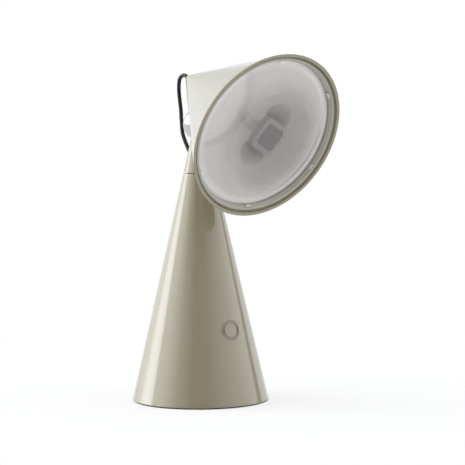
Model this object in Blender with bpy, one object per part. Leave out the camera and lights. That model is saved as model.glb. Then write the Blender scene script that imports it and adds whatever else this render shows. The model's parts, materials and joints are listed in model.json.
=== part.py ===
"""Portable table lamp: a lacquered base cone, a swivelling neck with a chromed ball, and a conical head.

Metres, +Z up. The origin is the centre of the foot's rest face. The head and the button face -Y,
and the cable and the charging inlet are at the back, +Y. Outlines are written in millimetres as
(radius, height) or (x, y) points, and MM turns them into metres.
"""

import math

import bmesh
import bpy
from mathutils import Matrix, Vector

MM = 0.001

# Base cone
BASE_RADIUS = 55.0
BASE_EDGE_HEIGHT = 1.0
CONE_APEX_HEIGHT = 238.5
BASE_WALL = 1.6
SEAM_HEIGHT = 184.0
SEAM_GAP = 0.6
DECK_THICKNESS = 4.2

# Ball joint
BALL_RADIUS = 12.5
BALL_HEIGHT = 222.8
BALL_CLEARANCE = 0.35
STUD_RADIUS = 2.5
STUD_LOW = 196.4

# Head cone, measured from its virtual apex along its own axis
HEAD_RADIUS = 69.0
HEAD_LENGTH = 117.3
HEAD_TILT = 21.6
HEAD_AXIS_OFFSET = 28.8
HEAD_APEX_BACK = 31.0
HEAD_WALL = 1.5
LIP_WIDTH = 2.6
APEX_FLAT_RADIUS = 3.2
APEX_BORE_RADIUS = 2.7

# Optics, as stations along the head's axis
RING_FRONT = 115.8
RING_BACK = 111.9
RING_OUTER_RADIUS = 64.7
LENS_OPENING_RADIUS = 61.5
LENS_EDGE_RADIUS = 62.4
LENS_EDGE_BACK = 110.0
LENS_POLE = 123.6
LENS_THICKNESS = 2.4
REFLECTOR_BACK = 80.0
REFLECTOR_FRONT = 109.7
REFLECTOR_HOLE_RADIUS = 5.3
REFLECTOR_MOUTH_RADIUS = 60.4
REFLECTOR_OUTER_RADIUS = 61.5
SINK_FRONT = 78.0
SINK_BACK = 62.0
POST_RADIUS = 4.5
SHADE_WIDTH = 26.4
SHADE_OPENING = 19.0
SHADE_BACK = 113.7
SHADE_FRONT = 119.7
SHADE_TURN = -30.0
LENS_TAB_COUNT = 6
LENS_TAB_TURN = 30.0

# Button and charging inlet
BUTTON_HEIGHT = 60.4
CAP_RADIUS = 6.0
BEZEL_RADIUS = 8.0
BEZEL_RECESS = 0.5
BUTTON_TRAVEL = 0.6
INLET_HEIGHT = 23.6
INLET_WIDTH = 12.4
INLET_OPENING_HEIGHT = 6.6

# Inside the base
FOOT_RADIUS = 51.0
FOOT_THICKNESS = 1.9
PLATE_RADIUS = 52.0
PLATE_LOW = 2.2
PLATE_HIGH = 5.4
SCREW_CIRCLE = 47.0
SCREW_RADIUS = 1.5
CELL_RADIUS = 9.25
CELL_LENGTH = 65.0
CELL_SPACING = 20.6
CELL_LOW = 8.5

# Swivel
SPINDLE_RADIUS = 4.0
SPINDLE_BORE = 2.6
SPINDLE_LOW = 168.0
CABLE_RADIUS = 1.6
LEAD_RADIUS = 1.3

GAP = 0.3

# Facets round a turned piece
SHELL_STEPS = 56
DISC_STEPS = 36
ROUND_STEPS = 28
SMALL_STEPS = 14

BASE_SLOPE = BASE_RADIUS / (CONE_APEX_HEIGHT - BASE_EDGE_HEIGHT)
BASE_HALF_ANGLE = math.atan(BASE_SLOPE)
HEAD_SLOPE = HEAD_RADIUS / HEAD_LENGTH
HEAD_HALF_ANGLE = math.atan(HEAD_SLOPE)
BASE_WALL_ACROSS = BASE_WALL / math.cos(BASE_HALF_ANGLE)
HEAD_WALL_ACROSS = HEAD_WALL / math.cos(HEAD_HALF_ANGLE)

# Colours are linear RGB: colour, roughness, metallic
FINISHES = {
    "lacquer": ((0.36, 0.35, 0.27), 0.18, 0.0),
    "grey_plastic": ((0.34, 0.34, 0.31), 0.40, 0.0),
    "black_plastic": ((0.02, 0.02, 0.02), 0.45, 0.0),
    "white_plastic": ((0.80, 0.80, 0.78), 0.40, 0.0),
    "rubber": ((0.015, 0.015, 0.015), 0.70, 0.0),
    "cable_jacket": ((0.01, 0.01, 0.01), 0.30, 0.0),
    "steel": ((0.55, 0.55, 0.56), 0.35, 1.0),
    "chrome": ((0.80, 0.80, 0.81), 0.05, 1.0),
    "aluminium": ((0.75, 0.75, 0.76), 0.30, 1.0),
    "mirror_coat": ((0.85, 0.85, 0.86), 0.12, 1.0),
    "clear_acrylic": ((0.90, 0.92, 0.92), 0.05, 0.0),
    "circuit_board": ((0.02, 0.12, 0.05), 0.45, 0.0),
    "led_phosphor": ((0.90, 0.70, 0.20), 0.50, 0.0),
    "cell_wrap": ((0.05, 0.15, 0.35), 0.35, 0.0),
    "magnet_plate": ((0.60, 0.60, 0.58), 0.25, 1.0),
}


def clear_scene():
    """Remove every object that the file opened with."""
    for old in list(bpy.data.objects):
        bpy.data.objects.remove(old, do_unlink=True)


def material(finish):
    """Return the Principled material of a finish, made at its first use."""
    found = bpy.data.materials.get(finish)
    if found:
        return found
    colour, roughness, metallic = FINISHES[finish]
    made = bpy.data.materials.new(finish)
    made.use_nodes = True
    shader = made.node_tree.nodes["Principled BSDF"]
    shader.inputs["Base Color"].default_value = (*colour, 1.0)
    shader.inputs["Roughness"].default_value = roughness
    shader.inputs["Metallic"].default_value = metallic
    return made


def base_radius(height):
    """Outer radius of the base cone, and of the neck that continues it, at a height."""
    return BASE_SLOPE * (CONE_APEX_HEIGHT - height)


def head_radius(station):
    """Outer radius of the head cone at a station along its axis."""
    return HEAD_SLOPE * station


def head_inner_radius(station):
    """Inner radius of the head's thin wall at a station along its axis."""
    return head_radius(station) - HEAD_WALL_ACROSS


def empty(name, at, turn=0.0, parent=None):
    """Add a guide at a point in millimetres, turned about X by an angle in radians."""
    guide = bpy.data.objects.new(name, None)
    bpy.context.collection.objects.link(guide)
    guide.location = Vector(at) * MM
    guide.rotation_euler = (turn, 0.0, 0.0)
    guide.parent = parent
    return guide


def place(name, shape, finish, parent, at, turn=(0.0, 0.0, 0.0)):
    """Turn a bmesh into a named object in its parent's frame."""
    bmesh.ops.recalc_face_normals(shape, faces=shape.faces)
    mesh = bpy.data.meshes.new(name)
    shape.to_mesh(mesh)
    shape.free()
    mesh.shade_smooth()
    mesh.set_sharp_from_angle(angle=math.radians(32))
    made = bpy.data.objects.new(name, mesh)
    bpy.context.collection.objects.link(made)
    made.location = Vector(at) * MM
    made.rotation_euler = turn
    made.parent = parent
    if finish:
        mesh.materials.append(material(finish))
    else:
        made.hide_render = True
        made.display_type = "WIRE"
    return made


def turned(name, outline, finish, parent=None, at=(0.0, 0.0, 0.0), steps=ROUND_STEPS, turn=(0.0, 0.0, 0.0)):
    """Spin a closed outline of (radius, height) points about the local Z axis. No finish makes a cutter."""
    shape = bmesh.new()
    points = [shape.verts.new((radius * MM, 0.0, height * MM)) for radius, height in outline]
    for first, second in zip(points, points[1:] + points[:1]):
        if first.co.x > 0.0 or second.co.x > 0.0:
            shape.edges.new((first, second))
    bmesh.ops.spin(
        shape,
        geom=shape.verts[:] + shape.edges[:],
        axis=(0.0, 0.0, 1.0),
        angle=math.tau,
        steps=steps,
        use_merge=True,
    )
    bmesh.ops.remove_doubles(shape, verts=shape.verts, dist=0.001 * MM)
    return place(name, shape, finish, parent, at, turn)


def extruded(name, outline, low, high, finish, parent=None, at=(0.0, 0.0, 0.0), turn=(0.0, 0.0, 0.0)):
    """Extrude a closed (x, y) outline along the local Z axis. No finish makes a cutter."""
    shape = bmesh.new()
    points = [shape.verts.new((x * MM, y * MM, low * MM)) for x, y in outline]
    face = shape.faces.new(points)
    pulled = bmesh.ops.extrude_face_region(shape, geom=[face])
    tops = [item for item in pulled["geom"] if isinstance(item, bmesh.types.BMVert)]
    bmesh.ops.translate(shape, verts=tops, vec=(0.0, 0.0, (high - low) * MM))
    return place(name, shape, finish, parent, at, turn)


def boolean(target, tool, operation="DIFFERENCE"):
    """Add an exact Boolean modifier."""
    step = target.modifiers.new(f"{operation.lower()}_{tool.name}", "BOOLEAN")
    step.operation = operation
    step.object = tool
    step.solver = "EXACT"


def arc(centre_height, radius, start, end, count):
    """Points of (radius, height) on a circle about a centre on the axis, angles in degrees from +radius."""
    angles = [math.radians(start + (end - start) * index / (count - 1)) for index in range(count)]
    return [(max(radius * math.cos(a), 0.0), centre_height + radius * math.sin(a)) for a in angles]


def dome(pole, edge_radius, edge_height, count):
    """Arc of (radius, height) points from a dome's edge up to its pole on the axis."""
    sag = pole - edge_height
    radius = (edge_radius * edge_radius + sag * sag) / (2 * sag)
    spread = math.degrees(math.asin(edge_radius / radius))
    return arc(pole - radius, radius, 90.0 - spread, 90.0, count)


def rounded_rectangle(width, height, corner, corner_steps=3):
    """Outline of a rectangle about the origin with round corners."""
    outline = []
    for quarter, (sx, sy) in enumerate(((1, 1), (-1, 1), (-1, -1), (1, -1))):
        for index in range(corner_steps + 1):
            angle = math.pi / 2 * (quarter + index / corner_steps)
            x = sx * (width / 2 - corner) + corner * math.cos(angle)
            y = sy * (height / 2 - corner) + corner * math.sin(angle)
            outline.append((x, y))
    return outline


def polygon(sides, radius):
    """Outline of a regular polygon about the origin."""
    return [
        (radius * math.cos(math.tau * index / sides), radius * math.sin(math.tau * index / sides))
        for index in range(sides)
    ]


def smooth_route(route, spacing):
    """Points at an even spacing along the smooth curve through a route's own points."""
    ends = [route[0] * 2 - route[1]] + route + [route[-1] * 2 - route[-2]]
    fine = []
    for before, start, stop, after in zip(ends, ends[1:], ends[2:], ends[3:]):
        for index in range(24):
            t = index / 24
            fine.append(
                0.5 * (2 * start + (stop - before) * t
                       + (2 * before - 5 * start + 4 * stop - after) * t * t
                       + (3 * start - before - 3 * stop + after) * t * t * t)
            )
    fine.append(route[-1])
    lengths = [0.0]
    for first, second in zip(fine, fine[1:]):
        lengths.append(lengths[-1] + (second - first).length)
    count = max(2, round(lengths[-1] / spacing))
    points = []
    index = 0
    for step in range(count + 1):
        goal = lengths[-1] * step / count
        while index < len(fine) - 2 and lengths[index + 1] < goal:
            index += 1
        share = (goal - lengths[index]) / (lengths[index + 1] - lengths[index])
        points.append(fine[index].lerp(fine[index + 1], share))
    return points, lengths[-1]


def tube_along(name, route, radius, finish, spacing):
    """A round lead along a route of points in millimetres, with flat ends."""
    points, length = smooth_route([Vector(point) for point in route], spacing)
    curve = bpy.data.curves.new(name, "CURVE")
    curve.dimensions = "3D"
    curve.bevel_depth = radius * MM
    curve.bevel_resolution = 2
    curve.use_fill_caps = True
    spline = curve.splines.new("POLY")
    spline.points.add(len(points) - 1)
    for target, point in zip(spline.points, points):
        target.co = (*(point * MM), 1.0)
    curve.materials.append(material(finish))
    made = bpy.data.objects.new(name, curve)
    bpy.context.collection.objects.link(made)
    print(f"{name}: {length:.0f} mm long")
    return made


def make_foot_and_plate(base):
    """Rubber foot, steel ballast plate, its three screws and the ring that they hold to."""
    turned("foot_pad", [
        (0.0, 0.0),
        (FOOT_RADIUS - 0.6, 0.0),
        (FOOT_RADIUS, 0.6),
        (FOOT_RADIUS, FOOT_THICKNESS),
        (0.0, FOOT_THICKNESS),
    ], "rubber", base, steps=DISC_STEPS)
    plate = turned("base_plate", [
        (0.0, PLATE_LOW),
        (PLATE_RADIUS, PLATE_LOW),
        (PLATE_RADIUS, PLATE_HIGH),
        (0.0, PLATE_HIGH),
    ], "steel", base, steps=DISC_STEPS)
    ring_low = PLATE_HIGH + GAP
    ring_high = ring_low + 6.0
    ring_wall = BASE_WALL_ACROSS + GAP
    ring = turned("mounting_ring", [
        (43.0, ring_low),
        (base_radius(ring_low) - ring_wall, ring_low),
        (base_radius(ring_high) - ring_wall, ring_high),
        (43.0, ring_high),
    ], "aluminium", base, steps=DISC_STEPS)
    head_high = PLATE_LOW + 0.5
    for number in range(3):
        angle = math.radians(30 + 120 * number)
        spot = (SCREW_CIRCLE * math.cos(angle), SCREW_CIRCLE * math.sin(angle), 0.0)
        turned(f"base_screw_{number + 1}", [
            (0.0, PLATE_LOW + 0.1),
            (2.8, PLATE_LOW + 0.1),
            (2.8, head_high),
            (SCREW_RADIUS, head_high + 1.3),
            (SCREW_RADIUS, ring_high - 1.0),
            (0.0, ring_high - 1.0),
        ], "steel", base, spot, SMALL_STEPS)
        cutter = turned(f"screw_cutter_{number + 1}", [
            (0.0, PLATE_LOW - 1.0),
            (2.8 + GAP, PLATE_LOW - 1.0),
            (2.8 + GAP, head_high + 0.1),
            (SCREW_RADIUS + GAP, head_high + 1.4),
            (SCREW_RADIUS + GAP, ring_high + 1.0),
            (0.0, ring_high + 1.0),
        ], None, base, spot, SMALL_STEPS)
        boolean(plate, cutter)
        boolean(ring, cutter)


def make_base_shell(base, button_axis, inlet_axis):
    """Spun cone with a thick top deck, pierced for the bush, the button and the charging inlet."""
    deck_high = SEAM_HEIGHT - SEAM_GAP / 2
    deck_low = deck_high - DECK_THICKNESS
    shell = turned("base_shell", [
        (BASE_RADIUS, BASE_EDGE_HEIGHT),
        (base_radius(deck_high), deck_high),
        (9.3, deck_high),
        (9.3, deck_high - 1.2),
        (6.0, deck_high - 1.2),
        (6.0, deck_low),
        (base_radius(deck_low) - BASE_WALL_ACROSS, deck_low),
        (BASE_RADIUS - BASE_WALL_ACROSS, BASE_EDGE_HEIGHT),
    ], "lacquer", base, steps=SHELL_STEPS)
    boolean(shell, turned("button_hole", [
        (0.0, -12.0),
        (BEZEL_RADIUS + GAP, -12.0),
        (BEZEL_RADIUS + GAP, 6.0),
        (0.0, 6.0),
    ], None, button_axis))
    opening = rounded_rectangle(INLET_WIDTH + 2 * GAP, INLET_OPENING_HEIGHT + 2 * GAP, 2.5)
    boolean(shell, extruded("inlet_hole", opening, 40.0, 60.0, None, inlet_axis))


def cone_envelope(base):
    """Guide with the base cone's outer surface, which trims what is flush with it."""
    return turned("cone_envelope", [
        (0.0, BASE_EDGE_HEIGHT),
        (BASE_RADIUS, BASE_EDGE_HEIGHT),
        (base_radius(120.0), 120.0),
        (0.0, 120.0),
    ], None, base, steps=SHELL_STEPS)


def make_button(button_axis, envelope):
    """Flush cap in a recessed ring, on a switch with its own plunger and round board."""
    housing_depth = -13.0
    flange = -3.3
    housing = turned("button_housing", [
        (CAP_RADIUS + 0.35, 4.0),
        (BEZEL_RADIUS, 4.0),
        (BEZEL_RADIUS, flange),
        (10.6, flange),
        (10.6, housing_depth),
        (9.2, housing_depth),
        (9.2, -6.2),
        (7.7, -6.2),
        (7.7, -3.4),
        (CAP_RADIUS + 0.35, -3.4),
    ], "lacquer", button_axis)
    trim = turned("bezel_envelope", [
        (0.0, BASE_EDGE_HEIGHT),
        (BASE_RADIUS - BEZEL_RECESS, BASE_EDGE_HEIGHT),
        (base_radius(120.0) - BEZEL_RECESS, 120.0),
        (0.0, 120.0),
    ], None, envelope.parent, steps=SHELL_STEPS)
    boolean(housing, trim, "INTERSECT")
    cap = turned("button_cap", [
        (0.0, 3.0),
        (CAP_RADIUS, 3.0),
        (CAP_RADIUS, -3.7),
        (7.3, -3.7),
        (7.3, -4.9),
        (1.6, -4.9),
        (1.6, -6.6),
        (0.0, -6.6),
    ], "lacquer", button_axis)
    boolean(cap, envelope, "INTERSECT")
    turned("switch_plunger", [
        (0.0, -6.9),
        (1.7, -6.9),
        (1.7, -9.0),
        (0.0, -9.0),
    ], "black_plastic", button_axis, steps=SMALL_STEPS)
    body = extruded("switch_body", rounded_rectangle(6.2, 6.2, 0.6, 1), -11.2, -7.8, "grey_plastic", button_axis)
    boolean(body, turned("plunger_hole", [
        (0.0, -9.0 - BUTTON_TRAVEL - GAP),
        (1.7 + GAP, -9.0 - BUTTON_TRAVEL - GAP),
        (1.7 + GAP, -7.0),
        (0.0, -7.0),
    ], None, button_axis, steps=SMALL_STEPS))
    turned("switch_board", [
        (0.0, -11.5),
        (9.2 - GAP, -11.5),
        (9.2 - GAP, -12.7),
        (0.0, -12.7),
    ], "circuit_board", button_axis)


def make_inlet(base, inlet_axis, envelope):
    """Charging socket on the driver board, its frame in the shell's back wall, and the board's stand."""
    frame = extruded("inlet_frame", rounded_rectangle(INLET_WIDTH, INLET_OPENING_HEIGHT, 2.3),
                     46.6, 54.0, "black_plastic", inlet_axis)
    boolean(frame, extruded("frame_opening", rounded_rectangle(9.7, 4.0, 1.9), 44.0, 56.0, None, inlet_axis))
    boolean(frame, envelope, "INTERSECT")
    socket = extruded("charge_socket", rounded_rectangle(9.0, 3.3, 1.6), 41.4, 48.9, "steel", inlet_axis)
    boolean(socket, extruded("socket_hollow", rounded_rectangle(8.2, 2.5, 1.2), 42.4, 50.0, None, inlet_axis))
    boolean(socket, extruded("socket_tongue", rounded_rectangle(6.6, 0.7, 0.2, 1), 42.0, 48.2, None, inlet_axis),
            "UNION")
    board_high = INLET_HEIGHT - 3.3 / 2 - GAP
    board_low = board_high - 1.6
    extruded("driver_board", rounded_rectangle(32.0, 30.0, 1.5, 1), board_low, board_high,
             "circuit_board", base, (0.0, 31.0, 0.0))
    stand_high = board_low - GAP
    stand_low = PLATE_HIGH + GAP
    legs = [
        (-14.0, stand_low), (-11.0, stand_low), (-11.0, stand_high - 2.0), (11.0, stand_high - 2.0),
        (11.0, stand_low), (14.0, stand_low), (14.0, stand_high), (-14.0, stand_high),
    ]
    # The outline stands upright, so local Z of the extrusion runs along -Y
    extruded("board_stand", legs, -38.0, -18.0, "black_plastic", base, turn=(math.pi / 2, 0.0, 0.0))


def make_battery(base):
    """Two cells in a moulded holder with a contact cap, held to the plate by two screws."""
    low = PLATE_HIGH + GAP
    holder = extruded("battery_holder", rounded_rectangle(44.0, 23.0, 9.0), low, 44.0, "black_plastic", base)
    foot = extruded("holder_foot", rounded_rectangle(62.0, 12.0, 5.0), low, low + 2.6, None, base)
    boolean(holder, foot, "UNION")
    cap = extruded("contact_cap", rounded_rectangle(42.0, 21.5, 9.0), 68.0, 76.5, "black_plastic", base)
    for number, side in enumerate((-1, 1), 1):
        spot = (side * CELL_SPACING / 2, 0.0, 0.0)
        high = CELL_LOW + CELL_LENGTH
        turned(f"battery_cell_{number}", [
            (0.0, CELL_LOW),
            (CELL_RADIUS, CELL_LOW),
            (CELL_RADIUS, high - 1.0),
            (CELL_RADIUS - 0.8, high - 0.5),
            (3.0, high - 0.5),
            (3.0, high),
            (0.0, high),
        ], "cell_wrap", base, spot, ROUND_STEPS - 4)
        pocket = turned(f"cell_pocket_{number}", [
            (0.0, CELL_LOW - GAP),
            (CELL_RADIUS + GAP, CELL_LOW - GAP),
            (CELL_RADIUS + GAP, high + GAP),
            (0.0, high + GAP),
        ], None, base, spot, ROUND_STEPS - 4)
        boolean(holder, pocket)
        boolean(cap, pocket)
        ear = (side * 27.0, 0.0, 0.0)
        screw_low = PLATE_LOW + 0.6
        turned(f"holder_screw_{number}", [
            (0.0, screw_low),
            (SCREW_RADIUS, screw_low),
            (SCREW_RADIUS, low + 2.6 + GAP),
            (2.8, low + 2.6 + GAP),
            (2.8, low + 4.6),
            (0.0, low + 4.6),
        ], "steel", base, ear, SMALL_STEPS)
        hole = turned(f"ear_hole_{number}", [
            (0.0, screw_low - GAP),
            (SCREW_RADIUS + GAP, screw_low - GAP),
            (SCREW_RADIUS + GAP, low + 8.0),
            (0.0, low + 8.0),
        ], None, base, ear, SMALL_STEPS)
        boolean(holder, hole)
        boolean(bpy.data.objects["base_plate"], hole)


def make_swivel(base, neck):
    """Flanged bush in the deck, hollow spindle through it, and the washer and nut that hold it."""
    deck_high = SEAM_HEIGHT - SEAM_GAP / 2
    deck_low = deck_high - DECK_THICKNESS
    neck_low = SEAM_HEIGHT + SEAM_GAP / 2
    hole = SPINDLE_RADIUS + GAP
    turned("swivel_bush", [
        (hole, neck_low),
        (9.0, neck_low),
        (9.0, deck_high - 0.9),
        (5.7, deck_high - 0.9),
        (5.7, deck_low),
        (hole, deck_low),
    ], "white_plastic", base)
    flange_low = neck_low + GAP - SEAM_HEIGHT
    low = SPINDLE_LOW - SEAM_HEIGHT
    turned("swivel_spindle", [
        (SPINDLE_BORE, low),
        (SPINDLE_RADIUS, low),
        (SPINDLE_RADIUS, flange_low),
        (9.8, flange_low),
        (9.8, flange_low + 3.0),
        (SPINDLE_BORE, flange_low + 3.0),
    ], "steel", neck)
    washer_high = deck_low - GAP - SEAM_HEIGHT
    turned("swivel_washer", [
        (hole, washer_high - 1.2),
        (8.6, washer_high - 1.2),
        (8.6, washer_high),
        (hole, washer_high),
    ], "steel", neck)
    nut_high = washer_high - 1.2 - GAP
    nut = extruded("swivel_nut", polygon(6, 7.5), nut_high - 5.0, nut_high, "steel", neck)
    boolean(nut, turned("nut_bore", [
        (0.0, nut_high - 6.0),
        (hole, nut_high - 6.0),
        (hole, nut_high + 1.0),
        (0.0, nut_high + 1.0),
    ], None, neck))


def neck_tip():
    """Radius and height where the neck's cone meets the dish under the ball."""
    dish = BALL_RADIUS + GAP
    rise = CONE_APEX_HEIGHT - BALL_HEIGHT
    steep = 1.0 / BASE_SLOPE
    square = 1.0 + steep * steep
    root = math.sqrt((rise * steep) ** 2 - square * (rise * rise - dish * dish))
    radius = (rise * steep + root) / square
    return radius, CONE_APEX_HEIGHT - steep * radius


def make_neck(neck, entry_axis):
    """Hollow cone tip above the seam, with a dish for the ball and a hole at the back for the cable."""
    low = SEAM_HEIGHT + SEAM_GAP / 2
    tip_radius, tip_height = neck_tip()
    dish = BALL_RADIUS + GAP
    hole = STUD_RADIUS + GAP
    cavity_high = 200.5
    dish_start = -math.degrees(math.acos(tip_radius / dish))
    dish_end = -math.degrees(math.acos(hole / dish))
    outline = [(base_radius(low), low), (tip_radius, tip_height)]
    outline += arc(BALL_HEIGHT, dish, dish_start, dish_end, 5)[1:]
    outline += [
        (hole, cavity_high),
        (base_radius(cavity_high) - 1.6, cavity_high),
        (base_radius(188.2) - 1.6, 188.2),
        (10.1, 188.2),
        (10.1, low),
    ]
    shell = turned("neck_shell", [(r, z - SEAM_HEIGHT) for r, z in outline], "lacquer", neck)
    boolean(shell, turned("entry_hole", [
        (0.0, -6.0),
        (2.9, -6.0),
        (2.9, 6.0),
        (0.0, 6.0),
    ], None, entry_axis, steps=SMALL_STEPS))
    turned("neck_grommet", [
        (CABLE_RADIUS + GAP, -2.0),
        (2.6, -2.0),
        (2.6, 2.3),
        (CABLE_RADIUS + GAP, 2.3),
    ], "rubber", entry_axis, steps=SMALL_STEPS)


def make_ball(neck):
    """Chromed ball on a stud, with the nut that holds the stud in the neck."""
    centre = BALL_HEIGHT - SEAM_HEIGHT
    hole = STUD_RADIUS + GAP
    start = -math.degrees(math.acos(hole / BALL_RADIUS))
    outline = arc(centre, BALL_RADIUS, start, 90.0, 11) + [(0.0, centre + 0.8), (hole, centre + 0.8)]
    turned("ball", outline, "chrome", neck)
    turned("ball_stud", [
        (0.0, STUD_LOW - SEAM_HEIGHT),
        (STUD_RADIUS, STUD_LOW - SEAM_HEIGHT),
        (STUD_RADIUS, centre + 0.5),
        (0.0, centre + 0.5),
    ], "steel", neck, steps=SMALL_STEPS)
    nut_high = 200.2 - SEAM_HEIGHT
    nut = extruded("ball_nut", polygon(6, 4.4), nut_high - 3.2, nut_high, "steel", neck)
    boolean(nut, turned("stud_bore", [
        (0.0, nut_high - 5.0),
        (hole, nut_high - 5.0),
        (hole, nut_high + 1.0),
        (0.0, nut_high + 1.0),
    ], None, neck, steps=SMALL_STEPS))


def make_head_shell(head, tilt):
    """Spun cone with a turned lip, a bored apex, and a hole that fits round the ball."""
    wall = HEAD_WALL_ACROSS
    lip_back = (HEAD_RADIUS - LIP_WIDTH + wall) / HEAD_SLOPE
    bore_end = (APEX_BORE_RADIUS + wall) / HEAD_SLOPE
    shell = turned("head_shell", [
        (APEX_BORE_RADIUS, APEX_FLAT_RADIUS / HEAD_SLOPE),
        (APEX_FLAT_RADIUS, APEX_FLAT_RADIUS / HEAD_SLOPE),
        (HEAD_RADIUS - 0.2, HEAD_LENGTH - 0.6),
        (HEAD_RADIUS - 0.5, HEAD_LENGTH),
        (HEAD_RADIUS - LIP_WIDTH, HEAD_LENGTH),
        (HEAD_RADIUS - LIP_WIDTH, lip_back),
        (APEX_BORE_RADIUS, bore_end),
    ], "lacquer", head, steps=SHELL_STEPS)
    socket = BALL_RADIUS + BALL_CLEARANCE
    boolean(shell, turned("ball_clearance", arc(0.0, socket, -90.0, 90.0, 17), None, tilt))


def make_seat(head, seat_axis):
    """Magnetic seat inside the head: collar, liner that slides on the ball, magnet and screwed cap."""
    inner = turned("cavity_envelope", [
        (0.0, (HEAD_WALL_ACROSS + GAP / math.cos(HEAD_HALF_ANGLE)) / HEAD_SLOPE),
        (head_inner_radius(70.0) - GAP / math.cos(HEAD_HALF_ANGLE), 70.0),
        (0.0, 70.0),
    ], None, head, steps=SHELL_STEPS)
    reach = BALL_RADIUS + GAP
    collar = turned("seat_collar", [
        (8.5, 9.0),
        (11.0, 9.0),
        (11.0, 21.0),
        (8.5, 21.0),
    ], "aluminium", seat_axis)
    boolean(collar, inner, "INTERSECT")
    liner = turned("ball_seat", [
        (0.0, 9.0),
        (8.2, 9.0),
        (8.2, reach + 1.6),
        (0.0, reach + 1.6),
    ], "white_plastic", seat_axis)
    boolean(liner, inner, "INTERSECT")
    boolean(liner, turned("seat_sphere", arc(0.0, reach, -90.0, 90.0, 17), None, seat_axis))
    magnet_low = reach + 1.6 + GAP
    turned("seat_magnet", [
        (0.0, magnet_low),
        (8.0, magnet_low),
        (8.0, magnet_low + 5.0),
        (0.0, magnet_low + 5.0),
    ], "magnet_plate", seat_axis, steps=ROUND_STEPS - 4)
    cap_low = magnet_low + 5.0 + GAP
    turned("seat_cap", [
        (0.0, cap_low),
        (8.2, cap_low),
        (8.2, 21.0 + GAP),
        (11.0, 21.0 + GAP),
        (11.0, 23.2),
        (0.0, 23.2),
    ], "aluminium", seat_axis, steps=ROUND_STEPS - 4)


def make_light_engine(head):
    """Heat sink that wedges in the cone, and its post with the LEDs, which face back, and their shade."""
    rim = GAP / math.cos(HEAD_HALF_ANGLE)
    fin_outer = (30.0, 26.0)
    outline = [
        (0.0, SINK_FRONT),
        (head_inner_radius(SINK_FRONT) - rim, SINK_FRONT),
        (head_inner_radius(SINK_FRONT - 4.0) - rim, SINK_FRONT - 4.0),
    ]
    station = SINK_FRONT - 4.0
    core = 12.0
    for radius in fin_outer:
        outline += [
            (core, station),
            (core, station - 3.0),
            (radius, station - 3.0),
            (radius, station - 5.0),
        ]
        station -= 5.0
    outline += [(core, station), (core, SINK_BACK), (0.0, SINK_BACK)]
    turned("heat_sink", outline, "aluminium", head)
    turned("led_post", [
        (1.8, SINK_FRONT + GAP),
        (POST_RADIUS, SINK_FRONT + GAP),
        (POST_RADIUS, SHADE_BACK - GAP),
        (1.8, SHADE_BACK - GAP),
    ], "aluminium", head, steps=SMALL_STEPS)
    turn = (0.0, 0.0, math.radians(SHADE_TURN))
    board_high = SHADE_BACK + 1.6
    extruded("led_board", rounded_rectangle(21.8, 21.8, 3.0, 1), SHADE_BACK, board_high, "white_plastic",
             head, turn=turn)
    chip_high = SHADE_BACK - GAP
    for number, (along, across) in enumerate(((4.2, 8.4), (-4.2, 8.4), (-4.2, -8.4), (4.2, -8.4)), 1):
        chip = [(along + x, across + y) for x, y in polygon(4, 2.4)]
        extruded(f"led_chip_{number}", chip, chip_high - 1.0, chip_high, "led_phosphor", head, turn=turn)
    shade = extruded("glare_shade", rounded_rectangle(SHADE_WIDTH, SHADE_WIDTH, 5.5), SHADE_BACK, SHADE_FRONT,
                     "aluminium", head, turn=turn)
    boolean(shade, extruded("board_recess", rounded_rectangle(22.4, 22.4, 3.3, 1), SHADE_BACK - 1.0,
                            board_high + GAP, None, head, turn=turn))
    panel_back = board_high + GAP + 1.4
    boolean(shade, extruded("front_recess", rounded_rectangle(SHADE_OPENING, SHADE_OPENING, 3.2, 2), panel_back,
                            SHADE_FRONT + 1.0, None, head, turn=turn))
    panel = rounded_rectangle(SHADE_OPENING - 2 * GAP, SHADE_OPENING - 2 * GAP, 2.9, 2)
    extruded("shade_panel", panel, panel_back + GAP, panel_back + GAP + 0.8, "black_plastic", head, turn=turn)


def make_reflector(head):
    """Aluminised bowl, a parabola from the post's hole to its mouth, standing on the heat sink."""
    hole = REFLECTOR_HOLE_RADIUS
    mouth = REFLECTOR_MOUTH_RADIUS
    flange_back = REFLECTOR_FRONT - 1.4
    stretch = (mouth * mouth - hole * hole) / (flange_back - REFLECTOR_BACK)
    count = 6
    radii = [hole + (mouth - hole) * index / (count - 1) for index in range(count)]
    inside = [(r, REFLECTOR_BACK + (r * r - hole * hole) / stretch) for r in radii]
    outside = [(r, z - 1.5) for r, z in inside[1:-1]]
    outline = inside + [
        (mouth, REFLECTOR_FRONT),
        (REFLECTOR_OUTER_RADIUS, REFLECTOR_FRONT),
        (REFLECTOR_OUTER_RADIUS, flange_back),
        (mouth - 1.6, flange_back - 2.4),
    ]
    outline += outside[::-1]
    outline += [(hole + 2.0, REFLECTOR_BACK - 1.5), (hole + 2.0, SINK_FRONT + GAP), (hole, SINK_FRONT + GAP)]
    turned("reflector", outline, "mirror_coat", head, steps=DISC_STEPS)


def tab_blocks(name, width, inner, outer, low, high, head):
    """Guide of equal blocks spaced round the lens edge."""
    shape = bmesh.new()
    for number in range(LENS_TAB_COUNT):
        angle = math.radians(LENS_TAB_TURN) + math.tau * number / LENS_TAB_COUNT
        cube = bmesh.ops.create_cube(shape, size=MM)
        bmesh.ops.scale(shape, vec=(outer - inner, width, high - low), verts=cube["verts"])
        bmesh.ops.translate(shape, vec=Vector(((inner + outer) / 2, 0.0, (low + high) / 2)) * MM, verts=cube["verts"])
        bmesh.ops.rotate(shape, cent=(0.0, 0.0, 0.0), matrix=Matrix.Rotation(angle, 3, "Z"), verts=cube["verts"])
    return place(name, shape, None, head, (0.0, 0.0, 0.0))


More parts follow.
